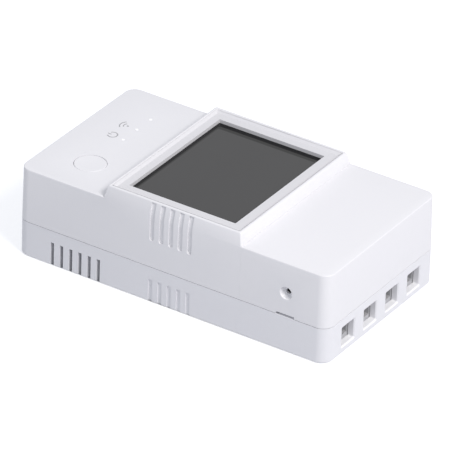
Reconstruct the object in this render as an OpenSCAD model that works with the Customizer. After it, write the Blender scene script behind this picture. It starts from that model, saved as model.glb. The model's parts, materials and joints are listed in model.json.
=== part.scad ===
// Smart relay module with a screen, for switching and metering one mains load.
// A tray and a main cover hold the boards. A lift-off cover closes the terminals.
// Origin at the middle of the underside, +X towards the wires, +Z up, millimetres.

/* [Case] */
// Length of the case
body_l = 98; // [97:0.5:106]
// Width of the case
body_w = 54; // [54:0.5:60]
// Height of the tray, up to the seam
base_h = 10.6; // [10.6:0.2:13]
// Height of the covers from the seam to the flat top
cover_h = 16; // [16:0.5:19]
// Radius of the upright corners
corner_r = 3.5; // [3:0.25:4.5]
// Thickness of the side walls
wall = 2; // [1.9:0.05:2.2]
// Thickness of the tray floor
floor_t = 2; // [1.9:0.05:2.3]
// Thickness of the flat top
roof_t = 1.8; // [1.6:0.1:1.9]
// How far the cover walls lean in over their height
draft = 0.28; // [0.1:0.02:0.4]
// Rounding of the covers' top edges
edge_r = 0.3; // [0.2:0.1:0.6]
// Shadow gap along the seam
seam_gap = 0.15; // [0.1:0.05:0.35]
// Height of the locating lip on the tray
lip_h = 1.3; // [1:0.1:1.6]
// Thickness of the locating lip
lip_t = 0.9; // [0.8:0.05:1]
// Clearance between the lip and the covers
lip_gap = 0.1; // [0.05:0.05:0.2]

/* [Screen block] */
// Height of the raised block above the flat top
block_h = 3.5; // [3.5:0.1:5]
// Length of the block at its foot
block_l = 43.4; // [43.4:0.2:46]
// How far the end faces of the block lean in
end_lean = 0.65; // [0.4:0.05:0.7]
// How far the side faces of the block lean in
side_lean = 0.76; // [0.5:0.02:0.8]
// Rounding of the block's end edges
block_end_r = 0.6; // [0.3:0.1:0.8]
// Rounding of the block's side edges
block_side_r = 0.3; // [0.2:0.05:0.4]
// Radius of the cove at the left foot of the block
cove_r = 0.9; // [0.5:0.1:1.5]
// Length of the cove that is left out at each end
cove_stop = 0.5; // [0.5:0.1:3]

/* [Screen] */
// Rim of the block beyond the frame at its two ends
rim_end = 0.98; // [0.9:0.02:2]
// Rim of the block beyond the frame at its two sides
rim_side = 0.89; // [0.85:0.02:2]
// Width of the frame's border at its two ends
frame_end = 3.6; // [3.3:0.05:3.8]
// Width of the frame's border at its two sides
frame_side = 3.85; // [3.3:0.05:4]
// Gap between the frame and the rim of the block
frame_gap = 0.12; // [0.08:0.02:0.16]
// How far the frame's outer edge lies below the rim
frame_sink = 0.05; // [0.05:0.05:0.3]
// How far the frame's top slopes down to the window
frame_fall = 0.75; // [0.4:0.05:0.85]
// Thickness of the frame at the window
frame_t = 1.1; // [0.9:0.1:1.2]
// Thickness of the lens
lens_t = 1; // [0.8:0.1:1.1]
// How far the lens reaches under the frame
lens_lap = 2.2; // [1.6:0.1:2.3]
// Thickness of the liquid crystal panel
lcd_t = 2.4; // [2:0.1:2.5]
// Thickness of the backlight
backlight_t = 1.7; // [1.5:0.1:1.8]
// Thickness of the ledge that carries the frame
ledge_t = 1.4; // [1:0.1:1.6]
// Play between the lens and the opening of the ledge
lens_gap = 0.2; // [0.1:0.05:0.3]

/* [Button and lights] */
// Diameter of the button
button_d = 8.9; // [7:0.1:10]
// Gap round the button
button_gap = 0.1; // [0.1:0.05:0.25]
// Distance of the button from the left end of the case
button_from_end = 14.6; // [13:0.1:17]
// Distance of the button from the side of the case
button_from_side = 12.8; // [12:0.1:15]
// Travel of the button
button_travel = 0.25; // [0.15:0.05:0.25]
// Thickness of the flange that keeps the button in
flange_t = 0.5; // [0.4:0.1:0.6]
// How far the flange reaches under the cover
flange_lap = 0.9; // [0.5:0.1:1.2]
// Side of the push switch
switch_w = 5.2; // [4.6:0.1:6]
// Height of the push switch's body
switch_h = 0.9; // [0.8:0.05:1]
// Diameter of the switch's plunger
plunger_d = 2.6; // [2:0.1:3]
// Diameter of a light point
light_d = 1; // [0.8:0.1:1.5]
// Distance of the first light point from the long middle line
light_first = 1.4; // [0:0.1:4]
// Distance from one light point to the next
light_pitch = 6.6; // [5:0.1:7.5]
// Width of the bar that joins the light points under the cover
light_bar_w = 1.8; // [1.4:0.1:2.4]
// Length, width and height of a lamp under the light guide
led_size = [1.6, 0.8, 0.6]; // [0.5:0.05:2]

/* [Vents and grooves] */
// Number of vent slots on each side
vent_n = 6; // [1:1:6]
// Width of a vent slot
vent_w = 1.05; // [0.8:0.05:1.4]
// Distance from one slot or groove to the next
vent_pitch = 2.96; // [2.6:0.02:3.1]
// Distance of the first slot from the left end
vent_from_end = 11.5; // [11:0.1:13]
// Top of the slots above the underside
vent_top = 7.05; // [5:0.05:8]
// How far the slots reach in across the underside
vent_reach = 5; // [3:0.5:7]
// Number of grooves on each side
groove_n = 5; // [1:1:7]
// Width of a groove in the cover
groove_w = 1.4; // [1:0.1:1.8]
// Depth of the grooves in the cover
groove_depth = 0.5; // [0.2:0.05:0.55]
// Lower end of the cover's grooves above the seam
groove_low = 8.1; // [6:0.1:10]
// Rim that the grooves leave at the top of the block
groove_rim = 0.3; // [0.2:0.05:0.8]
// Width of a groove in the tray
tray_groove_w = 1.2; // [0.8:0.1:1.6]
// Depth of the tray's grooves
tray_groove_depth = 0.35; // [0.2:0.05:0.5]
// Top of the tray's grooves above the underside
tray_groove_top = 6.85; // [4:0.05:8]

/* [Terminal cover] */
// Clearance round the terminal cover
cover_gap = 0.06; // [0.06:0.02:0.2]
// Diameter of the mouth of the round recess in its sides
recess_d = 3.9; // [3.4:0.1:5]
// Diameter of the floor of that recess
recess_floor_d = 2.2; // [2:0.1:3.3]
// Depth of the round recess
recess_depth = 1.3; // [0.8:0.1:1.4]
// Diameter of the hole in the floor of the recess
recess_hole_d = 1.6; // [1.2:0.1:1.9]
// Height of the recess above the seam
recess_up = 7.1; // [5:0.1:9]
// Distance of the recess and of the pry slot from the right end
latch_from_end = 13; // [12:0.1:15]
// Length of the pry slot
pry_l = 5.6; // [4:0.1:8]
// Height of the pry slot
pry_h = 0.6; // [0.5:0.1:1.2]
// Length of the guide tongues
guide_l = 6; // [4:0.5:8]
// Thickness of the guide tongues
guide_t = 1.2; // [0.8:0.1:1.4]
// How far the guide tongues reach below the seam
guide_down = 4.5; // [2:0.5:6]
// Height of the guide tongues' foot, which joins them to the cover
guide_foot = 2; // [1.5:0.5:4]

/* [Terminals] */
// Number of terminals
terminal_n = 4; // [2:1:4]
// Distance from one terminal to the next
terminal_pitch = 10.8; // [10.4:0.1:10.9]
// Side of a square wire window in the tray
wire_window = 6.1; // [5:0.1:6.4]
// Sill of the wire windows above the underside
wire_sill = 2.1; // [2.1:0.1:2.8]
// Width of a clamp cage
cage_w = 7.6; // [7:0.1:7.8]
// Length of a clamp cage
cage_l = 8; // [7:0.1:8.4]
// Thickness of the cage's sides and floor
cage_t = 1; // [0.8:0.1:1.2]
// Height of the cage's threaded bar
cage_bar_h = 3; // [2.4:0.1:3.2]
// Play between a cage and its pocket
cage_gap = 0.2; // [0.15:0.05:0.25]
// Height that a cage is open to the wire
wire_room = 4.8; // [4.4:0.1:4.9]
// Travel of a cage
cage_travel = 2.8; // [2:0.1:2.8]
// Height of a cage's underside above the window sill
cage_up = 0.2; // [0.1:0.05:0.3]
// Thickness of a contact tongue
tongue_t = 1.2; // [1:0.1:1.3]
// Play between a tongue and the threaded bar
tongue_gap = 0.3; // [0.2:0.05:0.4]
// Width of a tongue's leg on the main board
leg_w = 3.6; // [3:0.1:4.4]
// Nominal thread of a terminal screw
screw_d = 4; // [3.5:0.1:4.2]
// Radial clearance between the screw and the threaded bar
thread_gap = 0.05; // [0.02:0.01:0.08]
// Diameter of a terminal screw's head
screw_head_d = 7; // [6:0.1:7.2]
// Height of a terminal screw's head
screw_head_h = 2.4; // [2:0.1:2.6]
// Width of the slot in a terminal screw's head
slot_w = 1.1; // [0.8:0.05:1.2]
// Depth of that slot
slot_depth = 1.3; // [1:0.1:1.6]
// Play under a terminal screw's head and beyond its tip
screw_play = 0.1; // [0.05:0.05:0.2]
// Play above a raised cage
raised_gap = 0.4; // [0.3:0.05:0.5]
// Thickness of the web that the screw's head rests on
web_t = 0.8; // [0.6:0.1:1]
// Wall of the terminal housing in front of the cages
housing_front = 2.2; // [1.6:0.1:2.3]
// Wall of the terminal housing behind the cages
housing_back = 2.8; // [2:0.1:3.2]
// Wall of the terminal housing at its two ends
housing_end = 1.2; // [1:0.1:1.6]
// Height of the terminal housing's rim above the screw heads
housing_rim = 0.8; // [0.4:0.1:0.9]
// Play between the terminal housing and the end wall
housing_gap = 0.6; // [0.4:0.1:0.8]

/* [Boards and fixings] */
// Height of the board supports above the tray floor
standoff = 2.2; // [2:0.1:2.4]
// Thickness of the main board
board_t = 1.6; // [1.5:0.1:1.7]
// Play between the boards and the walls
board_gap = 0.6; // [0.4:0.1:0.9]
// Thickness of the panel board
panel_t = 1.2; // [1:0.1:1.3]
// Thickness of the partition beside the terminals
partition_t = 1.6; // [1.4:0.1:1.8]
// Diameter of the screw posts
post_d = 6.4; // [6:0.1:6.8]
// Distance of the screw posts from the inner walls
post_inset = 3.8; // [3.6:0.1:4]
// Thickness of the ribs that tie the posts to the walls
rib_t = 2.4; // [1.6:0.1:3]
// Shank diameter of the case screws
case_screw_d = 2.8; // [2.6:0.1:3]
// Length of the case screws' shank
case_screw_l = 11.5; // [10:0.5:12]
// Head diameter of the case screws
case_head_d = 5.4; // [5:0.1:5.8]
// Head height of the case screws
case_head_h = 1.7; // [1.5:0.1:1.8]
// Depth of the screw heads' recess in the underside
head_recess = 2.3; // [2.1:0.1:2.5]
// Diameter of the wall screw holes
wall_hole_d = 4.2; // [3.6:0.1:4.4]
// Diameter of the pads round the wall screw holes
pad_d = 6.6; // [6.2:0.1:7]
// Height of those pads above the tray floor
pad_h = 1; // [0.6:0.1:1.4]
// Distance of the wall screw holes from each other
wall_hole_span = 43.6; // [43:0.1:44]
// Distance of the wall screw holes from the partition
wall_hole_from_partition = 4.3; // [4.2:0.1:4.6]
// Distance of the panel board's bosses from the side walls and from the block
panel_boss_inset = 4; // [3.8:0.1:4.4]
// Diameter of those bosses
panel_boss_d = 5; // [4.4:0.1:5.4]
// Shank diameter of the panel board's screws
panel_screw_d = 1.8; // [1.6:0.1:2]
// Length of the panel board's screws under the head
panel_screw_l = 3.5; // [3:0.1:3.8]
// Head diameter of the panel board's screws
panel_head_d = 3.4; // [3:0.1:3.6]
// Head height of the panel board's screws
panel_head_h = 1.1; // [0.9:0.1:1.3]

/* [Relay] */
// Width of the relay
relay_w = 12.7; // [12.4:0.1:13]
// Length of the relay
relay_l = 29; // [28:0.5:30]
// Height of the relay
relay_h = 15.2; // [14.8:0.1:15.4]
// Wall of the relay's case
relay_wall = 0.8; // [0.6:0.1:0.9]
// Radius of the coil's winding
coil_r = 4.3; // [3.8:0.1:4.5]
// Length of the coil
coil_l = 15; // [13:0.5:16]
// Gap between the pole and the armature
pole_gap = 0.8; // [0.7:0.05:1]
// Thickness of the armature
armature_t = 1; // [0.8:0.1:1.2]
// Thickness of the yoke
yoke_t = 1; // [0.8:0.1:1.2]
// Width of the yoke and the armature
yoke_w = 6.4; // [5.6:0.1:7]
// Play between the yoke and the relay's case
relay_play = 0.6; // [0.4:0.1:0.8]
// Thickness of the relay's base
relay_base_t = 1.2; // [1:0.1:1.3]
// Diameter of the contact rivets
contact_d = 1.6; // [1.4:0.1:1.8]
// Height of the contact rivets
rivet_h = 0.6; // [0.5:0.05:0.65]
// Thickness of the blade that carries the moving contact
blade_t = 0.35; // [0.3:0.05:0.4]

/* [Parts on the main board] */
// Least gap between parts
part_gap = 1.2; // [0.8:0.1:1.3]
// Length, width and height of the transformer
transformer_size = [17, 15.8, 13]; // [10:0.1:20]
// Width of the transformer's core
core_w = 6; // [5:0.1:7]
// Diameter of the choke's flanges
choke_d = 8.4; // [7:0.1:9]
// Height of the choke
choke_h = 8.5; // [7:0.1:10]
// Diameter of the smoothing capacitors
can_d = 8; // [7:0.1:8.4]
// Height of the smoothing capacitors
can_h = 13; // [10:0.5:14]
// Length, width and height of the film capacitor
film_size = [13, 7, 12]; // [5:0.5:14]
// Diameter of the varistor's disc
varistor_d = 9.6; // [8:0.1:10]
// Thickness of the varistor's disc
varistor_t = 3.6; // [3:0.1:4]
// Diameter of the fuse's end caps
fuse_d = 4.2; // [3.6:0.1:4.6]
// Length of the fuse between the ends of its caps
fuse_l = 10.2; // [9:0.1:11]
// Length, width and height of the rectifier
rectifier_size = [5, 6, 2.5]; // [2:0.1:7]
// Length, width and height of the metering chip
chip_size = [9.9, 3.9, 1.6]; // [1.4:0.1:11]
// Distance from one of the chip's leads to the next
lead_pitch = 1.27; // [1.27, 1]
// Length, width and thickness of the radio board
radio_size = [11, 14, 0.8]; // [0.6:0.1:15]
// Height of the radio's shield
shield_h = 2.2; // [1.8:0.1:2.6]
// Length, width and height of the header's socket
socket_size = [13, 4.8, 8.5]; // [4:0.1:14]
// Distance from one header pin to the next
pin_pitch = 2.54; // [2.54, 2]
// Thickness of a header pin
pin_t = 0.64; // [0.5:0.02:0.7]
// Length of the shunt between the ends of its feet
shunt_l = 14.8; // [12:0.1:16]
// Width of the shunt's feet
shunt_w = 3.2; // [2.6:0.1:3.4]
// Height of the shunt
shunt_h = 3; // [2.4:0.1:3.6]
// Thickness of the shunt's strip
strip_t = 0.8; // [0.6:0.1:1]

/* [Hidden] */

$fn = 48;
// Thickness of a hull's outline slices
sliver = 0.01;
// How far a cut runs past a face
past = 1;
// Gap between the stacked parts under the screen and the button
stack_gap = 0.1;
// Play of a screw in a hole that it cuts its thread in
bore_play = 0.1;
// Play of a screw and its head in a hole that they drop into
head_play = 0.4;
// Play of a light point in its hole
light_gap = 0.1;
// Height of the choke's, the coil's and the transformer's flanges beyond their windings
coil_flange = 0.7;
// Length of the pole that stands out of the coil
pole_l = 1.4;
// Gap between the yoke's end and the armature
yoke_gap = 0.4;
// Gap between the partition and what it stands beside
partition_gap = 0.2;
// Bevel round the underside of the tray
foot_bevel = 0.4;

// Colours
white_case = [0.93, 0.93, 0.95];
white_cover = [0.95, 0.95, 0.97];
white_frame = [0.89, 0.89, 0.91];
board_green = [0.13, 0.36, 0.24];
steel = [0.72, 0.73, 0.75];
brass = [0.8, 0.66, 0.36];
black = [0.1, 0.1, 0.11];

// Heights
seam_z = base_h;
plane_z = base_h + cover_h;
top_z = plane_z + block_h;
roof_z = plane_z - roof_t;
frame_z = top_z - frame_sink;
frame_low = frame_z - frame_fall;
lens_z = frame_low - frame_t;
lcd_z = lens_z - lens_t - stack_gap;
backlight_z = lcd_z - lcd_t;
panel_z = backlight_z - backlight_t - stack_gap;
panel_low = panel_z - panel_t;
board_z = floor_t + standoff;
board_top = board_z + board_t;

// Inner faces
in_l = body_l / 2 - wall;
in_w = body_w / 2 - wall;
cover_in = wall + draft;
split_x = block_l / 2;
partition_x = split_x - partition_t;
cover_x = split_x + cover_gap;
lip_in = wall - lip_t;

// Screen
frame_l = block_l - 2 * (end_lean + rim_end + frame_gap);
frame_w = body_w - 2 * (draft + side_lean + rim_side + frame_gap);
window_l = frame_l - 2 * frame_end;
window_w = frame_w - 2 * frame_side;
lens_l = window_l + 2 * lens_lap;
lens_w = window_w + 2 * lens_lap;

// Button
button_x = button_from_end - body_l / 2;
button_y = button_from_side - body_w / 2;
flange_z = roof_z - stack_gap - flange_t;

// Terminals
cage_low = wire_sill + cage_up;
tongue_z = cage_low + cage_t + wire_room;
tongue_top = tongue_z + tongue_t;
bar_z = tongue_top + tongue_gap;
bar_top = bar_z + cage_bar_h;
web_z = bar_top + cage_travel + raised_gap;
head_z = web_z + web_t + screw_play;
housing_top = head_z + screw_head_h + housing_rim;
housing_x1 = in_l - housing_gap;
cage_x = housing_x1 - housing_front - cage_gap - cage_l / 2;
housing_x0 = cage_x - cage_l / 2 - cage_gap - housing_back;
pocket_w = cage_w + 2 * cage_gap;
pocket_l = cage_l + 2 * cage_gap;
housing_w = (terminal_n - 1) * terminal_pitch + pocket_w + 2 * housing_end;
tongue_w = cage_w - 2 * cage_t - 2 * cage_gap;
latch_x = body_l / 2 - latch_from_end;

// Fixings
post_at = [[post_inset - in_l, in_w - post_inset],
    [partition_x - post_d / 2 - partition_gap, in_w - post_inset]];
pilot_d = case_screw_d + bore_play;
wall_hole_x = split_x + wall_hole_from_partition;
panel_screw_at = [-split_x - panel_boss_inset, in_w - panel_boss_inset];

// Board outlines
board_x0 = board_gap - in_l;
board_x1 = housing_x0 - board_gap;
board_w = 2 * (in_w - board_gap);
pad_room = pad_d / 2 + board_gap;
panel_x0 = post_at[0].x + post_d / 2 + board_gap;
panel_x1 = partition_x - board_gap;
panel_w = 2 * (in_w - draft - board_gap);

// Places on the main board: each part stands beside its neighbour
radio_at = [board_x0 + part_gap + radio_size.x / 2, part_gap + radio_size.y / 2];
choke_at = [radio_at.x, -part_gap - choke_d / 2];
second_row = radio_at.x + radio_size.x / 2 + part_gap;
can_at = [second_row + can_d / 2, -2 * part_gap - can_d / 2];
varistor_at = [second_row + varistor_d / 2, 2 * part_gap + varistor_t / 2];
fuse_at = [varistor_at.x + varistor_d / 2 + part_gap + fuse_l / 2, varistor_at.y];
film_at = [second_row + film_size.x / 2, board_w / 2 - part_gap - film_size.y / 2];
rectifier_at = [film_at.x + film_size.x / 2 + 2 * part_gap + rectifier_size.x / 2, film_at.y];
transformer_at = [can_at.x + can_d / 2 + part_gap + transformer_size.x / 2,
    transformer_size.y / 2 + part_gap - board_w / 2];
chip_at = [transformer_at.x + transformer_size.x / 2 + part_gap + chip_size.x / 2,
    -(relay_l / 2 + board_w / 2) / 2];
shunt_x = partition_x - part_gap - shunt_w / 2;
relay_x = shunt_x - shunt_w / 2 - part_gap - relay_w / 2;
socket_at = [post_at[1].x - post_d / 2 - part_gap - socket_size.x / 2,
    board_w / 2 - 2 * part_gap - socket_size.y / 2];
leg_x = board_x1 - part_gap - tongue_t;

// Relay, from its own middle and the top of the main board
coil_z = relay_base_t + coil_r + coil_flange + stack_gap;
coil_y0 = relay_wall + relay_play + yoke_t + stack_gap - relay_l / 2;
coil_y1 = coil_y0 + coil_l;
pole_y = coil_y1 + pole_l;
armature_y = pole_y + pole_gap;
yoke_top = coil_z + coil_r + coil_flange + yoke_t + stack_gap;
armature_low = coil_z - 0.8 * coil_r;
armature_top = yoke_top + yoke_t / 2;
blade_x1 = relay_w / 2 - relay_wall - yoke_gap;
contact_x = blade_x1 - contact_d / 2;
contact_z = armature_low + contact_d;

// Corner radii of the block, the frame and the wire windows
block_corner_r = 0.4;
frame_corner_r = 0.3;
window_corner_r = 0.4;

// Functions and outline helpers
function terminal_y(i) = (i - (terminal_n - 1) / 2) * terminal_pitch;
function groove_x(i) = (i - (groove_n - 1) / 2) * vent_pitch - 0.2;

module outline(l, w, r) {
    square([l - 2 * r, w], center = true);
    square([l, w - 2 * r], center = true);
    for (sx = [-1, 1], sy = [-1, 1])
        translate([sx * (l / 2 - r), sy * (w / 2 - r)]) circle(r = r);
}

module slab(l, w, h, r, z) {
    translate([0, 0, z]) linear_extrude(h) outline(l, w, r);
}

module slice(inset_x, inset_y, l, w, r, z) {
    slab(l - 2 * inset_x, w - 2 * inset_y, sliver, r, z - sliver);
}

module block(p, q) {
    translate(p) cube(q - p);
}

module both_sides() {
    for (s = [0, 1]) mirror([0, s, 0]) children();
}

module at_posts() {
    for (p = post_at, s = [-1, 1]) translate([p.x, s * p.y, 0]) children();
}

module at_wall_holes() {
    both_sides() translate([wall_hole_x, wall_hole_span / 2, 0]) children();
}

module at_panel_screws() {
    both_sides() translate([panel_screw_at.x, panel_screw_at.y, 0]) children();
}

module at_lights() {
    for (i = [0 : 2]) translate([button_x, light_first + i * light_pitch, 0]) children();
}

module on_board(at) {
    translate([at.x, at.y, board_top]) children();
}

module in_relay() {
    on_board([relay_x, 0]) children();
}

// Slot with a round lower end, cut through along Y
module groove_slot(x, w, z0, z1) {
    translate([x, 0, 0]) rotate([90, 0, 0]) linear_extrude(body_w, center = true) {
        translate([0, z0 + w / 2]) circle(d = w);
        translate([-w / 2, z0 + w / 2]) square([w, z1 - z0 - w / 2]);
    }
}

// Both covers before they are parted: leaning walls and a rounded top edge
module cover_form() {
    hull() {
        slice(0, 0, body_l, body_w, corner_r, seam_z + seam_gap + sliver);
        for (a = [0 : 22.5 : 90]) {
            inset = draft + edge_r * (1 - cos(a));
            slice(inset, inset, body_l, body_w, corner_r - inset, plane_z - edge_r * (1 - sin(a)));
        }
    }
}

// Room inside both covers
module cover_room() {
    slab(body_l - 2 * cover_in, body_w - 2 * cover_in, roof_z - seam_z + past,
        corner_r - wall, seam_z - past);
}

// Rebate in the covers that clears the tray's lip
module lip_rebate() {
    slab(body_l - 2 * lip_in + 2 * lip_gap, body_w - 2 * lip_in + 2 * lip_gap,
        lip_h + lip_gap + past, corner_r - lip_in + lip_gap, seam_z - past);
}

// Raised block: leaning faces, softer edges at its two ends
module block_form() {
    w = body_w - 2 * draft;
    hull() {
        for (z = [plane_z - edge_r, plane_z]) slice(0, 0, block_l, w, block_corner_r, z, $fn = 16);
        for (a = [0 : 22.5 : 90])
            slice(end_lean + block_end_r * (1 - cos(a)), side_lean + block_side_r * (1 - cos(a)),
                block_l, w, block_corner_r, top_z - block_end_r * (1 - sin(a)), $fn = 16);
    }
}

// Cove between the flat top and the left foot of the block: it touches both smoothly
module cove() {
    half = body_w / 2 - draft - cove_stop;
    lean = atan(end_lean / block_h);
    foot = cove_r * (1 - sin(lean)) / cos(lean);
    touch_x = cove_r * cos(lean) - foot;
    touch_z = cove_r * (1 - sin(lean));
    inside = touch_x + end_lean;
    translate([-split_x, 0, plane_z - sliver]) rotate([90, 0, 0]) linear_extrude(2 * half, center = true)
        difference() {
            polygon([[-foot, 0], [inside, 0], [inside, touch_z], [touch_x, touch_z], [-foot, cove_r]]);
            translate([-foot, cove_r]) circle(r = cove_r);
        }
}

// Cutter for the grooves, which follow the wall and then the leaning block face
module groove_cut() {
    z0 = seam_z + groove_low;
    y0 = body_w / 2 - draft * groove_low / cover_h - groove_depth;
    y1 = body_w / 2 - draft - groove_depth;
    intersection() {
        for (i = [0 : groove_n - 1]) groove_slot(groove_x(i), groove_w, z0, top_z - groove_rim);
        rotate([90, 0, 90]) linear_extrude(block_l, center = true)
            polygon([[body_w, z0], [y0, z0], [y1, plane_z], [y1 - side_lean, top_z], [body_w, top_z]]);
    }
}

module base_shell() {
    color(white_case) difference() {
        union() {
            difference() {
                hull() {
                    slice(foot_bevel, foot_bevel, body_l, body_w, corner_r - foot_bevel, sliver);
                    for (z = [foot_bevel, base_h]) slice(0, 0, body_l, body_w, corner_r, z);
                }
                slab(2 * in_l, 2 * in_w, base_h, corner_r - wall, floor_t);
            }
            difference() {
                slab(body_l - 2 * lip_in, body_w - 2 * lip_in, lip_h + past,
                    corner_r - lip_in, base_h - past);
                slab(2 * in_l, 2 * in_w, base_h, corner_r - wall, base_h - 2 * past);
            }
            at_posts() translate([0, 0, floor_t - past]) cylinder(d = post_d, h = standoff + past);
            at_wall_holes() translate([0, 0, floor_t - past]) cylinder(d = pad_d, h = pad_h + past);
        }
        at_posts() translate([0, 0, -past]) {
            cylinder(d = case_head_d + head_play, h = head_recess + past);
            cylinder(d = case_screw_d + head_play, h = board_z + 2 * past);
        }
        at_wall_holes() translate([0, 0, -past]) cylinder(d = wall_hole_d, h = floor_t + pad_h + 2 * past);
        for (i = [0 : terminal_n - 1])
            translate([in_l - past, terminal_y(i), wire_sill + wire_window / 2]) rotate([90, 0, 90])
                linear_extrude(wall + 2 * past) outline(wire_window, wire_window, window_corner_r);
        both_sides() {
            for (i = [0 : vent_n - 1]) vent(vent_from_end - body_l / 2 + i * vent_pitch);
            for (i = [0 : groove_n - 1])
                block([groove_x(i) - tray_groove_w / 2, body_w / 2 - tray_groove_depth, -past],
                    [groove_x(i) + tray_groove_w / 2, body_w, tray_groove_top]);
        }
    }
}

// Vent slot that runs from the side wall round into the floor
module vent(x) {
    block([x - vent_w / 2, in_w - past, -past], [x + vent_w / 2, body_w, vent_top]);
    block([x - vent_w / 2, body_w / 2 - vent_reach, -past], [x + vent_w / 2, body_w, floor_t + past]);
}

module main_cover() {
    w = body_w - 2 * cover_in;
    color(white_cover) difference() {
        union() {
            difference() {
                union() {
                    intersection() {
                        cover_form();
                        block([-body_l, -body_w, seam_z], [split_x, body_w, top_z]);
                    }
                    block_form();
                    cove();
                }
                intersection() {
                    cover_room();
                    block([-body_l, -body_w, 0], [partition_x, body_w, top_z]);
                }
                slab(2 * partition_x, w, lens_z - ledge_t - seam_z, block_corner_r, seam_z);
                slab(lens_l + 2 * lens_gap, lens_w + 2 * lens_gap, top_z - roof_z, frame_corner_r, roof_z);
                slab(frame_l + 2 * frame_gap, frame_w + 2 * frame_gap, block_h, frame_corner_r, lens_z);
                lip_rebate();
                both_sides() groove_cut();
            }
            block([partition_x, partition_gap - in_w, board_top + partition_gap],
                [split_x, in_w - partition_gap, roof_z + past]);
            at_posts() translate([0, 0, board_top]) cylinder(d = post_d, h = panel_low - board_top);
            both_sides() {
                translate([post_at[0].x, post_at[0].y, panel_low - past])
                    cylinder(d = post_d, h = roof_z - panel_low + 2 * past);
                for (p = post_at)
                    block([p.x - rib_t / 2, p.y, seam_z + lip_h + past], [p.x + rib_t / 2, in_w, panel_low]);
                translate([panel_screw_at.x, panel_screw_at.y, panel_z])
                    cylinder(d = panel_boss_d, h = roof_z - panel_z + past);
            }
        }
        at_posts() translate([0, 0, board_top - past]) cylinder(d = pilot_d, h = case_screw_l + past);
        at_panel_screws() translate([0, 0, panel_z - past])
            cylinder(d = panel_screw_d + bore_play, h = panel_screw_l - panel_t + 2 * stack_gap + past);
        translate([button_x, button_y, roof_z - past])
            cylinder(d = button_d + 2 * button_gap, h = roof_t + 2 * past);
        at_lights() translate([0, 0, roof_z - past]) cylinder(d = light_d + light_gap, h = roof_t + 2 * past);
    }
}

module terminal_cover() {
    guide_y = in_w - cover_gap;
    foot_gap = 0.5;
    foot_z = seam_z + lip_h + foot_gap;
    color(white_cover) difference() {
        union() {
            difference() {
                intersection() {
                    cover_form();
                    block([cover_x, -body_w, seam_z], [body_l, body_w, top_z]);
                }
                cover_room();
                lip_rebate();
            }
            both_sides() {
                block([latch_x - guide_l / 2, guide_y - guide_t, seam_z - guide_down],
                    [latch_x + guide_l / 2, guide_y, foot_z + guide_foot]);
                block([latch_x - guide_l / 2, guide_y - guide_t, foot_z],
                    [latch_x + guide_l / 2, body_w / 2 - wall / 2, foot_z + guide_foot]);
            }
        }
        both_sides() {
            translate([latch_x, body_w / 2, seam_z + recess_up]) rotate([90, 0, 0]) {
                cylinder(d1 = recess_d, d2 = recess_floor_d, h = recess_depth + draft / 2);
                cylinder(d = recess_hole_d, h = wall + draft + past);
            }
            block([latch_x - pry_l / 2, in_w + lip_t, seam_z],
                [latch_x + pry_l / 2, body_w, seam_z + seam_gap + pry_h]);
        }
    }
}

// Bezel whose top slopes down to the window from a narrow flat land at its outer edge
module display_frame() {
    land = 0.15;
    color(white_frame) difference() {
        slab(frame_l, frame_w, frame_z - lens_z, frame_corner_r, lens_z);
        slab(window_l, window_w, frame_t + past, frame_corner_r, lens_z - past);
        hull() {
            slice(0, 0, window_l, window_w, frame_corner_r, frame_low + sliver, $fn = 16);
            slice(land, land, frame_l, frame_w, frame_corner_r, frame_z + sliver, $fn = 16);
        }
    }
}

module display_lens() {
    color([0.14, 0.14, 0.15]) slab(lens_l, lens_w, lens_t, frame_corner_r, lens_z - lens_t);
}

// Two glass plates: the lower one stands out at the side that the contacts are on
module lcd_panel() {
    l = lens_l - 2 * lens_gap;
    w = lens_w - 2 * lens_gap;
    contact_w = 2.4;
    color([0.3, 0.32, 0.33]) union() {
        slab(l, w, lcd_t / 2, frame_corner_r, backlight_z);
        translate([0, contact_w / 2, lcd_t / 2])
            slab(l, w - contact_w, lcd_t / 2, frame_corner_r, backlight_z);
    }
}

// Light plate with two lamps let into its far edge
module lcd_backlight() {
    w = lens_w - 2 * lens_gap;
    lamp = [5, 1.4, 0.9];
    z = panel_z + stack_gap;
    color([0.96, 0.96, 0.94]) union() {
        slab(lens_l - 2 * lens_gap, w, backlight_t, frame_corner_r, z);
        for (s = [-1, 1]) block([s * window_l / 4 - lamp.x / 2, w / 2 - lamp.y / 2, z],
            [s * window_l / 4 + lamp.x / 2, w / 2 + lamp.y / 2, z + lamp.z]);
    }
}

module panel_board() {
    color(board_green) difference() {
        block([panel_x0, -panel_w / 2, panel_low], [panel_x1, panel_w / 2, panel_z]);
        at_panel_screws() translate([0, 0, panel_low - past])
            cylinder(d = panel_screw_d + head_play, h = panel_t + 2 * past);
    }
}

// Round button with a broken top edge and a flange that the cover holds back
module button_cap() {
    chamfer = 0.15;
    color(white_cover) translate([button_x, button_y, 0]) union() {
        rotate_extrude() polygon([[0, flange_z], [button_d / 2, flange_z], [button_d / 2, plane_z - chamfer],
            [button_d / 2 - chamfer, plane_z], [0, plane_z]]);
        translate([0, 0, flange_z]) cylinder(r = button_d / 2 + flange_lap, h = flange_t);
    }
}

module switch_body() {
    lead = [1, 0.8, 0.2];
    lead_y = 0.35 * switch_w;
    color(steel) translate([button_x, button_y, panel_z]) difference() {
        union() {
            block([-switch_w / 2, -switch_w / 2, 0], [switch_w / 2, switch_w / 2, switch_h]);
            for (x = [-1, 1] * switch_w / 2, y = [-lead_y, lead_y])
                block([x - lead.x, y - lead.y / 2, 0], [x + lead.x, y + lead.y / 2, lead.z]);
        }
        translate([0, 0, stack_gap]) cylinder(d = plunger_d + 3 * stack_gap, h = switch_h);
    }
}

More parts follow.
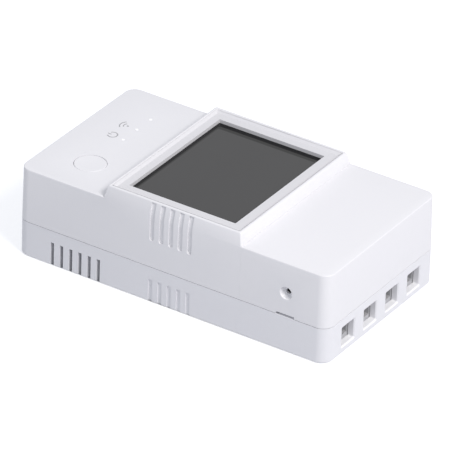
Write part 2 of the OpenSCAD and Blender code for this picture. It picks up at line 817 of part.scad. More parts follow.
// It reaches from the button's flange down to just above the floor of the switch
module switch_plunger() {
    low = panel_z + button_travel + 2 * stack_gap;
    color(black) translate([button_x, button_y, low]) cylinder(d = plunger_d, h = flange_z - low);
}

module light_guide() {
    bar_low = panel_z + led_size.z + 2 * stack_gap;
    end = light_d / 2 + 0.7;
    color([0.97, 0.97, 0.98]) union() {
        block([button_x - light_bar_w / 2, light_first - end, bar_low],
            [button_x + light_bar_w / 2, light_first + 2 * light_pitch + end, roof_z]);
        at_lights() translate([0, 0, roof_z - past]) cylinder(d = light_d, h = roof_t + past);
    }
}

module status_leds() {
    led = led_size;
    color([0.95, 0.93, 0.8]) at_lights()
        block([-led.x / 2, -led.y / 2, panel_z], [led.x / 2, led.y / 2, panel_z + led.z]);
}

module main_board() {
    color(board_green) difference() {
        block([board_x0, -board_w / 2, board_z], [board_x1, board_w / 2, board_top]);
        at_posts() translate([0, 0, board_z - past])
            cylinder(d = case_screw_d + head_play, h = board_t + 2 * past);
        both_sides() block([wall_hole_x - pad_room, wall_hole_span / 2 - pad_room, board_z - past],
            [wall_hole_x + pad_room, body_w, board_top + past]);
    }
}

module relay_case() {
    color([0.12, 0.13, 0.16]) in_relay() difference() {
        slab(relay_w, relay_l, relay_h, relay_wall, 0);
        slab(relay_w - 2 * relay_wall, relay_l - 2 * relay_wall, relay_h, relay_wall / 2, -relay_wall);
    }
}

module relay_base() {
    play = 2 * relay_wall + stack_gap;
    color([0.2, 0.2, 0.23]) in_relay() slab(relay_w - play, relay_l - play, relay_base_t, relay_wall / 2, 0);
}

// Winding between two flanges, with the pole standing out at one end
module relay_coil() {
    cheek_t = 0.8;
    color([0.75, 0.38, 0.16]) in_relay() translate([0, coil_y0, coil_z]) rotate([-90, 0, 0]) union() {
        cylinder(r = coil_r, h = coil_l);
        for (z = [0, coil_l - cheek_t]) translate([0, 0, z]) cylinder(r = coil_r + coil_flange, h = cheek_t);
        translate([0, 0, coil_l]) cylinder(r = 0.65 * coil_r, h = pole_l);
    }
}

module relay_yoke() {
    y0 = coil_y0 - yoke_t - stack_gap / 2;
    color(steel) in_relay() union() {
        block([-yoke_w / 2, y0, relay_base_t], [yoke_w / 2, y0 + yoke_t, yoke_top]);
        block([-yoke_w / 2, y0, yoke_top - yoke_t], [yoke_w / 2, armature_y - yoke_gap, yoke_top]);
    }
}

// Hinged plate with the moving contact on a blade
module relay_armature() {
    y1 = armature_y + armature_t;
    color(steel) in_relay() union() {
        block([-yoke_w / 2, armature_y, armature_low], [yoke_w / 2, y1, armature_top]);
        block([-yoke_w / 2, y1, armature_low], [blade_x1, y1 + blade_t, armature_low + 2 * contact_d]);
        translate([contact_x, y1, contact_z]) rotate([90, 0, 0]) cylinder(d = contact_d, h = rivet_h);
    }
}

// Fixed contact on its post, one contact gap from the moving one
module relay_contacts() {
    post = [1.2, 0.7];
    y = armature_y + armature_t - rivet_h - pole_gap + 0.1;
    color(brass) in_relay() union() {
        block([contact_x - post.x / 2, y - rivet_h / 2 - post.y, relay_base_t],
            [contact_x + post.x / 2, y - rivet_h / 2, contact_z + contact_d / 4]);
        translate([contact_x, y, contact_z]) rotate([90, 0, 0]) cylinder(d = contact_d, h = rivet_h / 2);
    }
}

// One moulding with a deep pocket for each cage and a web under each screw's head
module terminal_housing() {
    mid = (housing_x0 + housing_x1) / 2;
    color([0.78, 0.79, 0.8]) difference() {
        translate([mid, 0, 0])
            slab(housing_x1 - housing_x0, housing_w, housing_top - floor_t, window_corner_r, floor_t);
        for (i = [0 : terminal_n - 1]) translate([0, terminal_y(i), 0]) {
            block([cage_x - pocket_l / 2, -pocket_w / 2, floor_t - past],
                [cage_x + pocket_l / 2, pocket_w / 2, web_z]);
            block([cage_x, cage_t - cage_w / 2, cage_low + cage_t],
                [housing_x1 + past, cage_w / 2 - cage_t, tongue_z]);
            block([housing_x0 - past, -tongue_w / 2, tongue_z], [cage_x, tongue_w / 2, tongue_top]);
            translate([cage_x, 0, web_z - past]) cylinder(d = screw_d + head_play, h = web_t + 2 * past);
            translate([cage_x, 0, web_z + web_t]) cylinder(d = screw_head_d + head_play, h = housing_top);
        }
    }
}

// Strips that run from over the wire into the housing and down to the main board
module terminal_tongues() {
    color(brass) for (i = [0 : terminal_n - 1]) translate([0, terminal_y(i), 0]) union() {
        block([leg_x, -tongue_w / 2, tongue_z],
            [cage_x + cage_l / 2 - 2 * cage_gap, tongue_w / 2, tongue_top]);
        block([leg_x, -leg_w / 2, board_top], [leg_x + tongue_t, leg_w / 2, tongue_z + sliver]);
    }
}

// Combination head: one long slot crossed by a short one
module terminal_screw(i) {
    chamfer = 0.5;
    cross_l = 4;
    head_top = head_z + screw_head_h;
    color(steel) translate([cage_x, terminal_y(i), 0]) difference() {
        union() {
            translate([0, 0, tongue_top + screw_play]) cylinder(d = screw_d, h = head_z - tongue_top);
            translate([0, 0, head_z]) rotate_extrude() polygon([[0, 0], [screw_head_d / 2, 0],
                [screw_head_d / 2, screw_head_h - chamfer], [screw_head_d / 2 - chamfer, screw_head_h],
                [0, screw_head_h]]);
        }
        block([-screw_head_d, -slot_w / 2, head_top - slot_depth],
            [screw_head_d, slot_w / 2, head_top + past]);
        block([-slot_w / 2, -cross_l / 2, head_top - slot_depth], [slot_w / 2, cross_l / 2, head_top + past]);
    }
}

// Box clamp: an open frame with a thick threaded bar at the top
module clamp_cage(i) {
    color(steel) translate([cage_x, terminal_y(i), 0]) difference() {
        slab(cage_l, cage_w, bar_top - cage_low, 2 * cage_gap, cage_low);
        block([-cage_l, cage_t - cage_w / 2, cage_low + cage_t], [cage_l, cage_w / 2 - cage_t, bar_z]);
        translate([0, 0, bar_z - past]) cylinder(r = screw_d / 2 + thread_gap, h = cage_bar_h + 2 * past);
    }
}

// Upright bobbin on a foot, with a flat core round it
module transformer() {
    foot_h = 3;
    cheek_t = 1.2;
    cheek_lap = 1.7;
    top = transformer_size.z - 0.8;
    core_l = transformer_size.x - 1;
    w = transformer_size.y;
    color([0.85, 0.72, 0.2]) on_board(transformer_at) union() {
        block([-transformer_size.x / 2, -w / 2, 0], [transformer_size.x / 2, w / 2, foot_h]);
        for (z = [foot_h, top - cheek_t]) block([-core_l / 3, -w / 2, z], [core_l / 3, w / 2, z + cheek_t]);
        block([-core_l / 2, -core_w / 2, foot_h], [core_l / 2, core_w / 2, transformer_size.z]);
        translate([0, 0, foot_h + cheek_t]) cylinder(d = w - 2 * cheek_lap, h = top - foot_h - 2 * cheek_t);
    }
}

module choke() {
    cheek_t = 1.2;
    color([0.16, 0.16, 0.17]) on_board(choke_at) union() {
        cylinder(d = choke_d - 2 * coil_flange, h = choke_h);
        for (z = [0, choke_h - cheek_t]) translate([0, 0, z]) cylinder(d = choke_d, h = cheek_t);
    }
}

// Two cans with a crimped groove near the foot
module smoothing_capacitors() {
    r = can_d / 2;
    crimp = 0.25;
    color([0.15, 0.2, 0.33]) for (i = [0, 1])
        on_board([can_at.x, can_at.y - i * (can_d + part_gap)]) rotate_extrude()
            polygon([[0, 0], [r, 0], [r, 1], [r - crimp, 1 + crimp], [r, 1 + 2 * crimp],
                [r, can_h - crimp], [r - crimp, can_h], [0, can_h]]);
}

module film_capacitor() {
    color([0.86, 0.7, 0.25]) on_board(film_at) slab(film_size.x, film_size.y, film_size.z, 0.5, 0);
}

// Upright disc on two leads that stand at its two faces
module varistor() {
    lift = 1.6;
    lead_t = 0.8;
    z = varistor_d / 2 + lift;
    color([0.15, 0.35, 0.6]) on_board(varistor_at) union() {
        translate([0, 0, z]) rotate([90, 0, 0]) cylinder(d = varistor_d, h = varistor_t, center = true);
        for (s = [-1, 1]) translate([s * varistor_d / 4, s * varistor_t / 4, z / 2])
            cube([lead_t, lead_t, z], center = true);
    }
}

module fuse() {
    cap_l = 2.2;
    tube_d = fuse_d - 0.6;
    lead_t = 0.8;
    z = fuse_d / 2 + 0.3;
    color([0.82, 0.83, 0.82]) on_board(fuse_at) translate([0, 0, z]) rotate([0, 90, 0]) union() {
        cylinder(d = tube_d, h = fuse_l - cap_l, center = true);
        for (s = [-1, 1]) translate([0, 0, s * (fuse_l - cap_l) / 2]) {
            cylinder(d = fuse_d, h = cap_l, center = true);
            block([0, -lead_t / 2, -lead_t / 2], [z, lead_t / 2, lead_t / 2]);
        }
    }
}

module rectifier() {
    size = rectifier_size;
    tab = [1, 0.8 * size.y, 0.4];
    color(black) on_board(rectifier_at) union() {
        slab(size.x, size.y, size.z, 0.3, 0);
        block([-size.x / 2 - tab.x, -tab.y / 2, 0], [size.x / 2 + tab.x, tab.y / 2, tab.z]);
    }
}

// Bridge of resistance strip between two soldered feet
module shunt() {
    foot_h = 1;
    foot_l = 2.8;
    bend_y = shunt_l / 2 - foot_l;
    half_w = shunt_w / 2 - 0.2;
    color([0.62, 0.5, 0.42]) on_board([shunt_x, 0]) union() {
        both_sides() {
            block([-shunt_w / 2, bend_y, 0], [shunt_w / 2, shunt_l / 2, foot_h]);
            block([-half_w, bend_y - strip_t / 2, 0], [half_w, bend_y + strip_t / 2, shunt_h]);
        }
        block([-half_w, -bend_y, shunt_h - strip_t], [half_w, bend_y, shunt_h]);
    }
}

module metering_chip() {
    lead = [0.4, 2, 0.4];
    lift = 0.2;
    leads = floor((chip_size.x - lead.x) / lead_pitch);
    color(black) on_board(chip_at) union() {
        slab(chip_size.x, chip_size.y, chip_size.z - lift, lift, lift);
        for (i = [0 : leads - 1], y = [-1, 1] * chip_size.y / 2)
            translate([(i - (leads - 1) / 2) * lead_pitch, y, lead.z / 2]) cube(lead, center = true);
    }
}

module radio_board() {
    color([0.1, 0.14, 0.2]) on_board(radio_at) slab(radio_size.x, radio_size.y, radio_size.z, 0.3, 0);
}

// Pressed can on the radio board: it leaves the aerial's end free
module radio_shield() {
    margin = 0.9;
    aerial_l = 3.4;
    color(steel) on_board(radio_at) translate([aerial_l / 2 - margin / 2, 0, 0])
        slab(radio_size.x - aerial_l - margin, radio_size.y - 2 * margin, shield_h, 0.4, radio_size.z);
}

module header_socket() {
    color(black) on_board(socket_at) slab(socket_size.x, socket_size.y, socket_size.z, 0.2, 0);
}

// Pin carrier under the panel board, with its pins standing on the socket
module header_pins() {
    carrier_h = 2.5;
    pins = floor(socket_size.x / pin_pitch);
    rise = panel_low - board_top - socket_size.z;
    color(brass) on_board([socket_at.x, socket_at.y]) translate([0, 0, socket_size.z]) union() {
        slab(socket_size.x, socket_size.y, carrier_h, 0.2, rise - carrier_h);
        for (i = [0 : pins - 1], s = [-1, 1])
            translate([(i - (pins - 1) / 2) * pin_pitch, s * pin_pitch / 2, rise / 2])
                cube([pin_t, pin_t, rise], center = true);
    }
}

// Case screws, driven from below through the tray and the main board into the cover's posts
module case_screws() {
    recess_l = 3;
    recess_w = 0.7;
    z0 = head_recess - case_head_h;
    color(steel) at_posts() difference() {
        union() {
            translate([0, 0, z0]) cylinder(d = case_head_d, h = case_head_h);
            translate([0, 0, head_recess - sliver]) cylinder(d = case_screw_d, h = case_screw_l);
        }
        for (a = [0, 90]) rotate(a)
            block([-recess_l / 2, -recess_w / 2, -past], [recess_l / 2, recess_w / 2, z0 + case_head_h / 2]);
    }
}

module panel_screws() {
    color(steel) at_panel_screws() union() {
        translate([0, 0, panel_low - panel_head_h]) cylinder(d = panel_head_d, h = panel_head_h);
        translate([0, 0, panel_low - sliver]) cylinder(d = panel_screw_d, h = panel_screw_l);
    }
}

base_shell();
main_cover();
terminal_cover();
display_frame();
display_lens();
lcd_panel();
lcd_backlight();
panel_board();
button_cap();
switch_body();
switch_plunger();
light_guide();
status_leds();
main_board();
relay_case();
relay_base();
relay_coil();
relay_yoke();
relay_armature();
relay_contacts();
terminal_housing();
terminal_tongues();
terminal_screw(0);  // terminal_screw_1
terminal_screw(1);  // terminal_screw_2
terminal_screw(2);  // terminal_screw_3
terminal_screw(3);  // terminal_screw_4
clamp_cage(0);  // clamp_cage_1
clamp_cage(1);  // clamp_cage_2
clamp_cage(2);  // clamp_cage_3
clamp_cage(3);  // clamp_cage_4
transformer();
choke();
smoothing_capacitors();
film_capacitor();
varistor();
fuse();
rectifier();
shunt();
metering_chip();
radio_board();
radio_shield();
header_socket();
header_pins();
case_screws();
panel_screws();
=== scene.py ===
import json
import math
import bmesh
import bpy
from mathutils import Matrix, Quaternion, Vector


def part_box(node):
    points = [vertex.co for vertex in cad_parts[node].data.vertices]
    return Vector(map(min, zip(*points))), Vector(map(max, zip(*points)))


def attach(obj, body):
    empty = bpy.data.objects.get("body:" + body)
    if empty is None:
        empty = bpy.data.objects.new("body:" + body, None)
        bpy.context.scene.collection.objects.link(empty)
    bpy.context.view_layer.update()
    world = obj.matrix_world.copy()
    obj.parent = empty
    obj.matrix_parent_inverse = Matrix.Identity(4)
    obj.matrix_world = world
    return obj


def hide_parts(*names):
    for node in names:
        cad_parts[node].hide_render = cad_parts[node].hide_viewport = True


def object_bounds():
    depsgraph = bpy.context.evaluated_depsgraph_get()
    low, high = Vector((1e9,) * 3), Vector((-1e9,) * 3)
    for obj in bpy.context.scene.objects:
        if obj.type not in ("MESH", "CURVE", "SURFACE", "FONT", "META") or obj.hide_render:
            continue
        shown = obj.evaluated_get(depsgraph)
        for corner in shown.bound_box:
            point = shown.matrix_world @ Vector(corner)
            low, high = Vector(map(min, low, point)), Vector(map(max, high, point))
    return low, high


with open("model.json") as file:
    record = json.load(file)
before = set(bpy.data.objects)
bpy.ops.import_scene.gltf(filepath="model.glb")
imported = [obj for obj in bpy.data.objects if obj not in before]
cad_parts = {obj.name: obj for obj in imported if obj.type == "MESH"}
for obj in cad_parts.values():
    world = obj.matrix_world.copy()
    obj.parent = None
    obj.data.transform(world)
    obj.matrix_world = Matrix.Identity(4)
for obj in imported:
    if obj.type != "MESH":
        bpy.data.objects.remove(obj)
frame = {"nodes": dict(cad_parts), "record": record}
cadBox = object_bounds()
mm = 0.001
collection = bpy.context.scene.collection
slotOf = {row["node"]: row["material_slot"] for row in frame["record"]["subparts"]}
bodyOf = {}
for body, members in frame["record"]["behaviour"]["bodies"].items():
    for member in members:
        bodyOf[member] = body
print("stage: frame loaded")


# Small helpers for node trees
def link(tree, source, target):
    tree.links.new(source, target)


# Sets a number or a colour on a socket, and links anything else to it
def feed(tree, value, socket):
    if isinstance(value, (int, float)):
        socket.default_value = value
    elif isinstance(value, (tuple, list)):
        socket.default_value = (*value[:3], 1)
    else:
        link(tree, value, socket)


def feedAll(tree, node, values):
    for name, value in values.items():
        feed(tree, value, node.inputs[name])
    return node


def addNode(tree, kind, **settings):
    node = tree.nodes.new(kind)
    for key, value in settings.items():
        setattr(node, key, value)
    return node


def mathNode(tree, operation, first, second=0.0):
    node = addNode(tree, "ShaderNodeMath", operation=operation)
    feed(tree, first, node.inputs[0])
    feed(tree, second, node.inputs[1])
    return node.outputs[0]


# The mix node has its colours in at sockets 6 and 7 and its colour out at socket 2
def mixColour(tree, factor, first, second):
    node = addNode(tree, "ShaderNodeMix", data_type="RGBA")
    feed(tree, factor, node.inputs["Factor"])
    feed(tree, first, node.inputs[6])
    feed(tree, second, node.inputs[7])
    return node.outputs[2]


def rangeNode(tree, value, low, high, outLow=0, outHigh=1):
    node = feedAll(tree, addNode(tree, "ShaderNodeMapRange"), {"Value": value, "From Min": low,
        "From Max": high, "To Min": outLow, "To Max": outHigh})
    return node.outputs["Result"]


def noiseNode(tree, place, scale, detail=2):
    node = addNode(tree, "ShaderNodeTexNoise")
    return feedAll(tree, node, {"Vector": place, "Scale": scale, "Detail": detail}).outputs["Fac"]


def bumpNode(tree, height, strength, distance, normal=None):
    node = addNode(tree, "ShaderNodeBump")
    feedAll(tree, node, {"Height": height, "Strength": strength, "Distance": distance})
    if normal:
        link(tree, normal, node.inputs["Normal"])
    return node.outputs["Normal"]


def splitVector(tree, vector):
    node = addNode(tree, "ShaderNodeSeparateXYZ")
    link(tree, vector, node.inputs["Vector"])
    return node.outputs


def ownPlace(tree):
    return addNode(tree, "ShaderNodeTexCoord").outputs["Object"]


def scaledPlace(tree, scale):
    mapping = addNode(tree, "ShaderNodeMapping")
    link(tree, ownPlace(tree), mapping.inputs["Vector"])
    mapping.inputs["Scale"].default_value = scale
    return mapping.outputs["Vector"]


# One for rays that show a thing by sight, in a gloss or through clear stuff
def seenMask(tree):
    path = addNode(tree, "ShaderNodeLightPath")
    seen = mathNode(tree, "ADD", path.outputs["Is Camera Ray"], path.outputs["Is Glossy Ray"])
    seen = mathNode(tree, "ADD", seen, path.outputs["Is Transmission Ray"])
    return mathNode(tree, "MINIMUM", seen, 1.0)


def newGroup(name, inputs, outputs):
    tree = bpy.data.node_groups.new(name, "ShaderNodeTree")
    for label, kind, value in inputs:
        socket = tree.interface.new_socket(label, in_out="INPUT", socket_type=kind)
        socket.default_value = value
    for label, kind in outputs:
        tree.interface.new_socket(label, in_out="OUTPUT", socket_type=kind)
    return tree, tree.nodes.new("NodeGroupInput"), tree.nodes.new("NodeGroupOutput")


# Shared effects give masks and a normal, never a shader. This one is a moulded skin: a fine grain
# on a slow wave, a drift of tone along the flow, and flecks
def makeMouldGroup():
    values = {"flowRun": (1, 0.45, 1), "flow": 28, "flowRange": (0.3, 0.7), "fleck": 620,
        "fleckRange": (0.4, 0.75), "detail": 3, "wave": 90, "waveStrength": 0.25,
        "waveHeight": 0.02 * mm, "grainHeight": 0.01 * mm}
    tree, given, out = newGroup("mouldedSkin",
        [("Grain", "NodeSocketFloat", 2600.0), ("Depth", "NodeSocketFloat", 0.2)],
        [("Normal", "NodeSocketVector"), ("Tone", "NodeSocketFloat"), ("Fleck", "NodeSocketFloat")])
    place = scaledPlace(tree, (1, 1, 1))
    fine = noiseNode(tree, place, given.outputs["Grain"], values["detail"])
    flow = noiseNode(tree, scaledPlace(tree, values["flowRun"]), values["flow"], values["detail"])
    fleck = noiseNode(tree, place, values["fleck"])
    wave = noiseNode(tree, place, values["wave"])
    slow = bumpNode(tree, wave, values["waveStrength"], values["waveHeight"])
    bump = bumpNode(tree, fine, given.outputs["Depth"], values["grainHeight"], normal=slow)
    feedAll(tree, out, {"Normal": bump, "Tone": rangeNode(tree, flow, *values["flowRange"]),
        "Fleck": rangeNode(tree, fleck, *values["fleckRange"])})
    return tree


# Drawn metal: fine streaks along one axis and slow clouds
def makeBrushedGroup():
    values = {"streakRun": (1, 0.08, 1), "streak": 1500, "streakDetail": 4,
        "streakRange": (0.3, 0.7), "cloud": 240, "cloudDetail": 3, "cloudRange": (0.35, 0.65),
        "height": 0.01 * mm}
    tree, given, out = newGroup("drawnMetal",
        [("Depth", "NodeSocketFloat", 0.3)],
        [("Normal", "NodeSocketVector"), ("Streak", "NodeSocketFloat"),
            ("Cloud", "NodeSocketFloat")])
    streak = noiseNode(tree, scaledPlace(tree, values["streakRun"]), values["streak"],
        values["streakDetail"])
    cloud = noiseNode(tree, scaledPlace(tree, (1, 1, 1)), values["cloud"], values["cloudDetail"])
    feedAll(tree, out, {
        "Normal": bumpNode(tree, streak, given.outputs["Depth"], values["height"]),
        "Streak": rangeNode(tree, streak, *values["streakRange"]),
        "Cloud": rangeNode(tree, cloud, *values["cloudRange"])})
    return tree


boardLayout = {"Pitch": 1.2 * mm, "Field": 4.8 * mm}


# Solder mask over copper: bundles of tracks that turn at square fields, and plated holes
def makeBoardGroup():
    values = {"track": (0.14, 0.18), "turned": 0.5, "poured": 0.72, "level": 0.5, "dots": 260,
        "scatter": 0.9, "hole": (0.075, 0.095), "strength": 0.6, "height": 0.03 * mm}
    tree, given, out = newGroup("boardSkin",
        [(name, "NodeSocketFloat", value) for name, value in boardLayout.items()],
        [("Normal", "NodeSocketVector"), ("Track", "NodeSocketFloat"), ("Hole", "NodeSocketFloat")])
    place = scaledPlace(tree, (1, 1, 0))
    field = addNode(tree, "ShaderNodeVectorMath", operation="SNAP")
    link(tree, place, field.inputs[0])
    link(tree, given.outputs["Field"], field.inputs[1])
    chance = addNode(tree, "ShaderNodeTexWhiteNoise")
    link(tree, field.outputs["Vector"], chance.inputs["Vector"])
    picked = addNode(tree, "ShaderNodeSeparateColor")
    link(tree, chance.outputs["Color"], picked.inputs["Color"])
    split = splitVector(tree, place)
    lines = []
    for axis in ("X", "Y"):
        turns = mathNode(tree, "DIVIDE", split[axis], given.outputs["Pitch"])
        swing = mathNode(tree, "PINGPONG", turns, 0.5)
        lines.append(rangeNode(tree, swing, *values["track"], 1, 0))
    along = mathNode(tree, "GREATER_THAN", picked.outputs["Red"], values["turned"])
    across = mathNode(tree, "SUBTRACT", 1.0, along)
    either = mathNode(tree, "ADD", mathNode(tree, "MULTIPLY", lines[0], along),
        mathNode(tree, "MULTIPLY", lines[1], across))
    poured = mathNode(tree, "GREATER_THAN", picked.outputs["Green"], values["poured"])
    facing = splitVector(tree, addNode(tree, "ShaderNodeTexCoord").outputs["Normal"])
    level = mathNode(tree, "GREATER_THAN", mathNode(tree, "ABSOLUTE", facing["Z"]),
        values["level"])
    track = mathNode(tree, "MULTIPLY", mathNode(tree, "MAXIMUM", either, poured), level)
    dots = addNode(tree, "ShaderNodeTexVoronoi", feature="F1")
    feedAll(tree, dots, {"Vector": place, "Scale": values["dots"],
        "Randomness": values["scatter"]})
    feedAll(tree, out, {"Normal": bumpNode(tree, track, values["strength"], values["height"]),
        "Track": track, "Hole": rangeNode(tree, dots.outputs["Distance"], *values["hole"], 1, 0)})
    return tree


mouldGroup = makeMouldGroup()
brushedGroup = makeBrushedGroup()
boardGroup = makeBoardGroup()


def startMaterial(name):
    material = bpy.data.materials.new(name)
    material.use_nodes = True
    tree = material.node_tree
    return material, tree, tree.nodes["Principled BSDF"]


def useGroup(tree, group, **values):
    return feedAll(tree, addNode(tree, "ShaderNodeGroup", node_tree=group), values).outputs


def shade(colour, share):
    return tuple(part * share for part in colour)


# A roughness that rises where the mask is one
def roughened(tree, mask, roughness, rise):
    return rangeNode(tree, mask, 0, 1, roughness, roughness + rise)


# Moulded plastic: a satin skin whose tone drifts a little along the flow of the moulding
def plastic(name, colour, roughness, grain=2600, depth=0.2, drift=0.03):
    values = {"fleck": 0.02, "fleckShare": 0.5, "dulled": 0.08}
    material, tree, shader = startMaterial(name)
    skin = useGroup(tree, mouldGroup, Grain=grain, Depth=depth)
    toned = mixColour(tree, skin["Tone"], shade(colour, 1 - drift), colour)
    flecks = mathNode(tree, "MULTIPLY", skin["Fleck"], values["fleckShare"])
    feedAll(tree, shader, {
        "Base Color": mixColour(tree, flecks, toned, shade(colour, 1 - values["fleck"])),
        "Roughness": roughened(tree, skin["Fleck"], roughness, values["dulled"]),
        "Normal": skin["Normal"]})
    return material


# Drawn, plated or stamped metal with fine streaks
def metal(name, colour, dull, roughness, depth=0.3, metallic=1.0):
    dulled = 0.14
    material, tree, shader = startMaterial(name)
    skin = useGroup(tree, brushedGroup, Depth=depth)
    feedAll(tree, shader, {"Base Color": mixColour(tree, skin["Cloud"], dull, colour),
        "Roughness": roughened(tree, skin["Streak"], roughness, dulled),
        "Normal": skin["Normal"], "Metallic": metallic})
    return material


# Printed board: mask, the mask where copper lies under it, and the plated holes
def board(name, mask, track, plated):
    values = {"mask": 0.28, "plated": 0.4}
    material, tree, shader = startMaterial(name)
    skin = useGroup(tree, boardGroup, **boardLayout)
    toned = mixColour(tree, skin["Track"], mask, track)
    feedAll(tree, shader, {"Base Color": mixColour(tree, skin["Hole"], toned, plated),
        "Roughness": rangeNode(tree, skin["Hole"], 0, 1, values["mask"], values["plated"]),
        "Normal": skin["Normal"]})
    return material


# Wire or tape wound in fine turns across one axis
def wound(name, colour, dark, turns, axis, metallic):
    values = {"distortion": 0.6, "detailScale": 0.4, "strength": 0.7, "height": 0.1 * mm,
        "roughness": 0.35}
    material, tree, shader = startMaterial(name)
    wave = addNode(tree, "ShaderNodeTexWave", bands_direction=axis)
    feedAll(tree, wave, {"Vector": scaledPlace(tree, (1, 1, 1)), "Scale": turns,
        "Distortion": values["distortion"], "Detail Scale": values["detailScale"]})
    band = wave.outputs["Fac"]
    feedAll(tree, shader, {"Base Color": mixColour(tree, band, dark, colour),
        "Normal": bumpNode(tree, band, values["strength"], values["height"]),
        "Metallic": metallic, "Roughness": values["roughness"]})
    return material


# Smoked window over a dark cell: the cell ends short of the opening, and black shows beside it,
# partly as the cell's own border and partly as painted shade along the back and the left
def smokedWindow(name):
    values = {"grain": 900, "depth": 0.02, "cellDark": (0.04, 0.04, 0.0412),
        "cell": (0.044, 0.044, 0.0452), "black": (0.002, 0.002, 0.0025), "roughness": 0.05,
        "dulled": 0.02, "gloss": 0.3}
    # The black beside the cell is partly its own border and partly painted shade: it is widest
    # along the back and the left, where the frame's wall shades the window
    blackBorderAndShade = {"rim": 2.2 * mm, "left": 0.7 * mm, "right": 0.35 * mm, "front": 0.3 * mm,
        "back": 2.1 * mm, "soft": 0.6 * mm}
    material, tree, shader = startMaterial(name)
    skin = useGroup(tree, mouldGroup, Grain=values["grain"], Depth=values["depth"])
    split = splitVector(tree, ownPlace(tree))
    low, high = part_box("display_lens")
    area = 1.0
    for side, axis, edge, way in (("left", "X", low.x, 1), ("right", "X", high.x, -1),
            ("front", "Y", low.y, 1), ("back", "Y", high.y, -1)):
        beyond = mathNode(tree, "SUBTRACT", split[axis], edge + way * blackBorderAndShade["rim"])
        inward = mathNode(tree, "MULTIPLY", beyond, way)
        near, far = blackBorderAndShade[side] - blackBorderAndShade["soft"] / 2, blackBorderAndShade[side] + blackBorderAndShade["soft"] / 2
        area = mathNode(tree, "MULTIPLY", rangeNode(tree, inward, near, far), area)
    cell = mixColour(tree, skin["Tone"], values["cellDark"], values["cell"])
    feedAll(tree, shader, {"Base Color": mixColour(tree, area, values["black"], cell),
        "Roughness": roughened(tree, skin["Fleck"], values["roughness"], values["dulled"]),
        "Normal": skin["Normal"], "Specular IOR Level": values["gloss"]})
    return material


# Clear or milky plastic, which can glow a little as a painted highlight
def clearPlastic(name, colour, roughness, through, paintedGlow=0.0):
    values = {"grain": 1800, "depth": 0.08, "pale": 0.96, "dulled": 0.05}
    material, tree, shader = startMaterial(name)
    skin = useGroup(tree, mouldGroup, Grain=values["grain"], Depth=values["depth"])
    pale = shade(colour, values["pale"])
    feedAll(tree, shader, {"Base Color": mixColour(tree, skin["Tone"], pale, colour),
        "Roughness": roughened(tree, skin["Fleck"], roughness, values["dulled"]),
        "Normal": skin["Normal"], "Transmission Weight": through, "Emission Color": colour,
        "Emission Strength": paintedGlow})
    return material


whitePlastic = (0.81, 0.806, 0.825)
materials = {
    "tray_white": plastic("trayWhite", (0.795, 0.795, 0.82), 0.42),
    "cover_white": plastic("coverWhite", whitePlastic, 0.42),
    "frame_white": plastic("frameWhite", (0.69, 0.685, 0.703), 0.4),
    "button_white": plastic("buttonWhite", whitePlastic, 0.36, depth=0.12),
    "lens_smoke": smokedWindow("lensSmoke"),
    "crystal_grey": plastic("crystalGrey", (0.09, 0.1, 0.1), 0.15, depth=0.02, drift=0.06),
    "backlight_white": plastic("backlightWhite", (0.86, 0.86, 0.83), 0.5, depth=0.1),
    "board_green": board("boardGreen", (0.012, 0.085, 0.035), (0.03, 0.15, 0.065),
        (0.62, 0.58, 0.5)),
    "radio_mask": board("radioMask", (0.008, 0.014, 0.03), (0.02, 0.035, 0.07), (0.7, 0.58, 0.3)),
    "tin": metal("tin", (0.78, 0.79, 0.8), (0.62, 0.63, 0.65), 0.28),
    "black_plastic": plastic("blackPlastic", (0.018, 0.018, 0.02), 0.4, depth=0.3, drift=0.15),
    # The light guides glow a little: a painted highlight that makes their tips show white
    "guide_clear": clearPlastic("guideClear", (0.95, 0.95, 0.96), 0.12, 0.1, paintedGlow=0.12),
    "lamp_cream": clearPlastic("lampCream", (0.9, 0.85, 0.55), 0.25, 0.1),
    "relay_black": plastic("relayBlack", (0.022, 0.024, 0.03), 0.36, depth=0.25, drift=0.12),
    "copper_wire": wound("copperWire", (0.6, 0.2, 0.07), (0.16, 0.04, 0.015), 1400, "Y", 0.8),
    "brass": metal("brass", (0.83, 0.62, 0.27), (0.6, 0.42, 0.17), 0.22),
    "terminal_grey": plastic("terminalGrey", (0.44, 0.445, 0.457), 0.45, depth=0.35, drift=0.05),
    "screw_steel": metal("screwSteel", (0.74, 0.75, 0.77), (0.55, 0.56, 0.6), 0.2),
    "tape_yellow": wound("tapeYellow", (0.8, 0.55, 0.03), (0.62, 0.4, 0.02), 160, "Z", 0.0),
    "capacitor_blue": plastic("capacitorBlue", (0.012, 0.024, 0.075), 0.24, depth=0.08, drift=0.1),
    "film_yellow": plastic("filmYellow", (0.68, 0.4, 0.035), 0.38, depth=0.3, drift=0.08),
    "varistor_blue": plastic("varistorBlue", (0.02, 0.07, 0.28), 0.25, grain=900, depth=0.5,
        drift=0.15),
    "fuse_body": plastic("fuseBody", (0.7, 0.68, 0.61), 0.3, depth=0.1),
    "shunt_alloy": metal("shuntAlloy", (0.46, 0.36, 0.28), (0.34, 0.26, 0.2), 0.33),
}
enamelWire = metal("enamelWire", (0.72, 0.27, 0.1), (0.5, 0.16, 0.06), 0.24, depth=0.1)
ferrite = plastic("ferrite", (0.035, 0.034, 0.036), 0.5, grain=1400, depth=0.5, drift=0.1)
clampZinc = metal("clampZinc", (0.88, 0.89, 0.9), (0.8, 0.81, 0.83), 0.5, metallic=0.1)
# Paler white for the window sills: a painted highlight
sillHighlightWhite = plastic("sillHighlightWhite", (0.9, 0.902, 0.915), 0.36, depth=0.1)
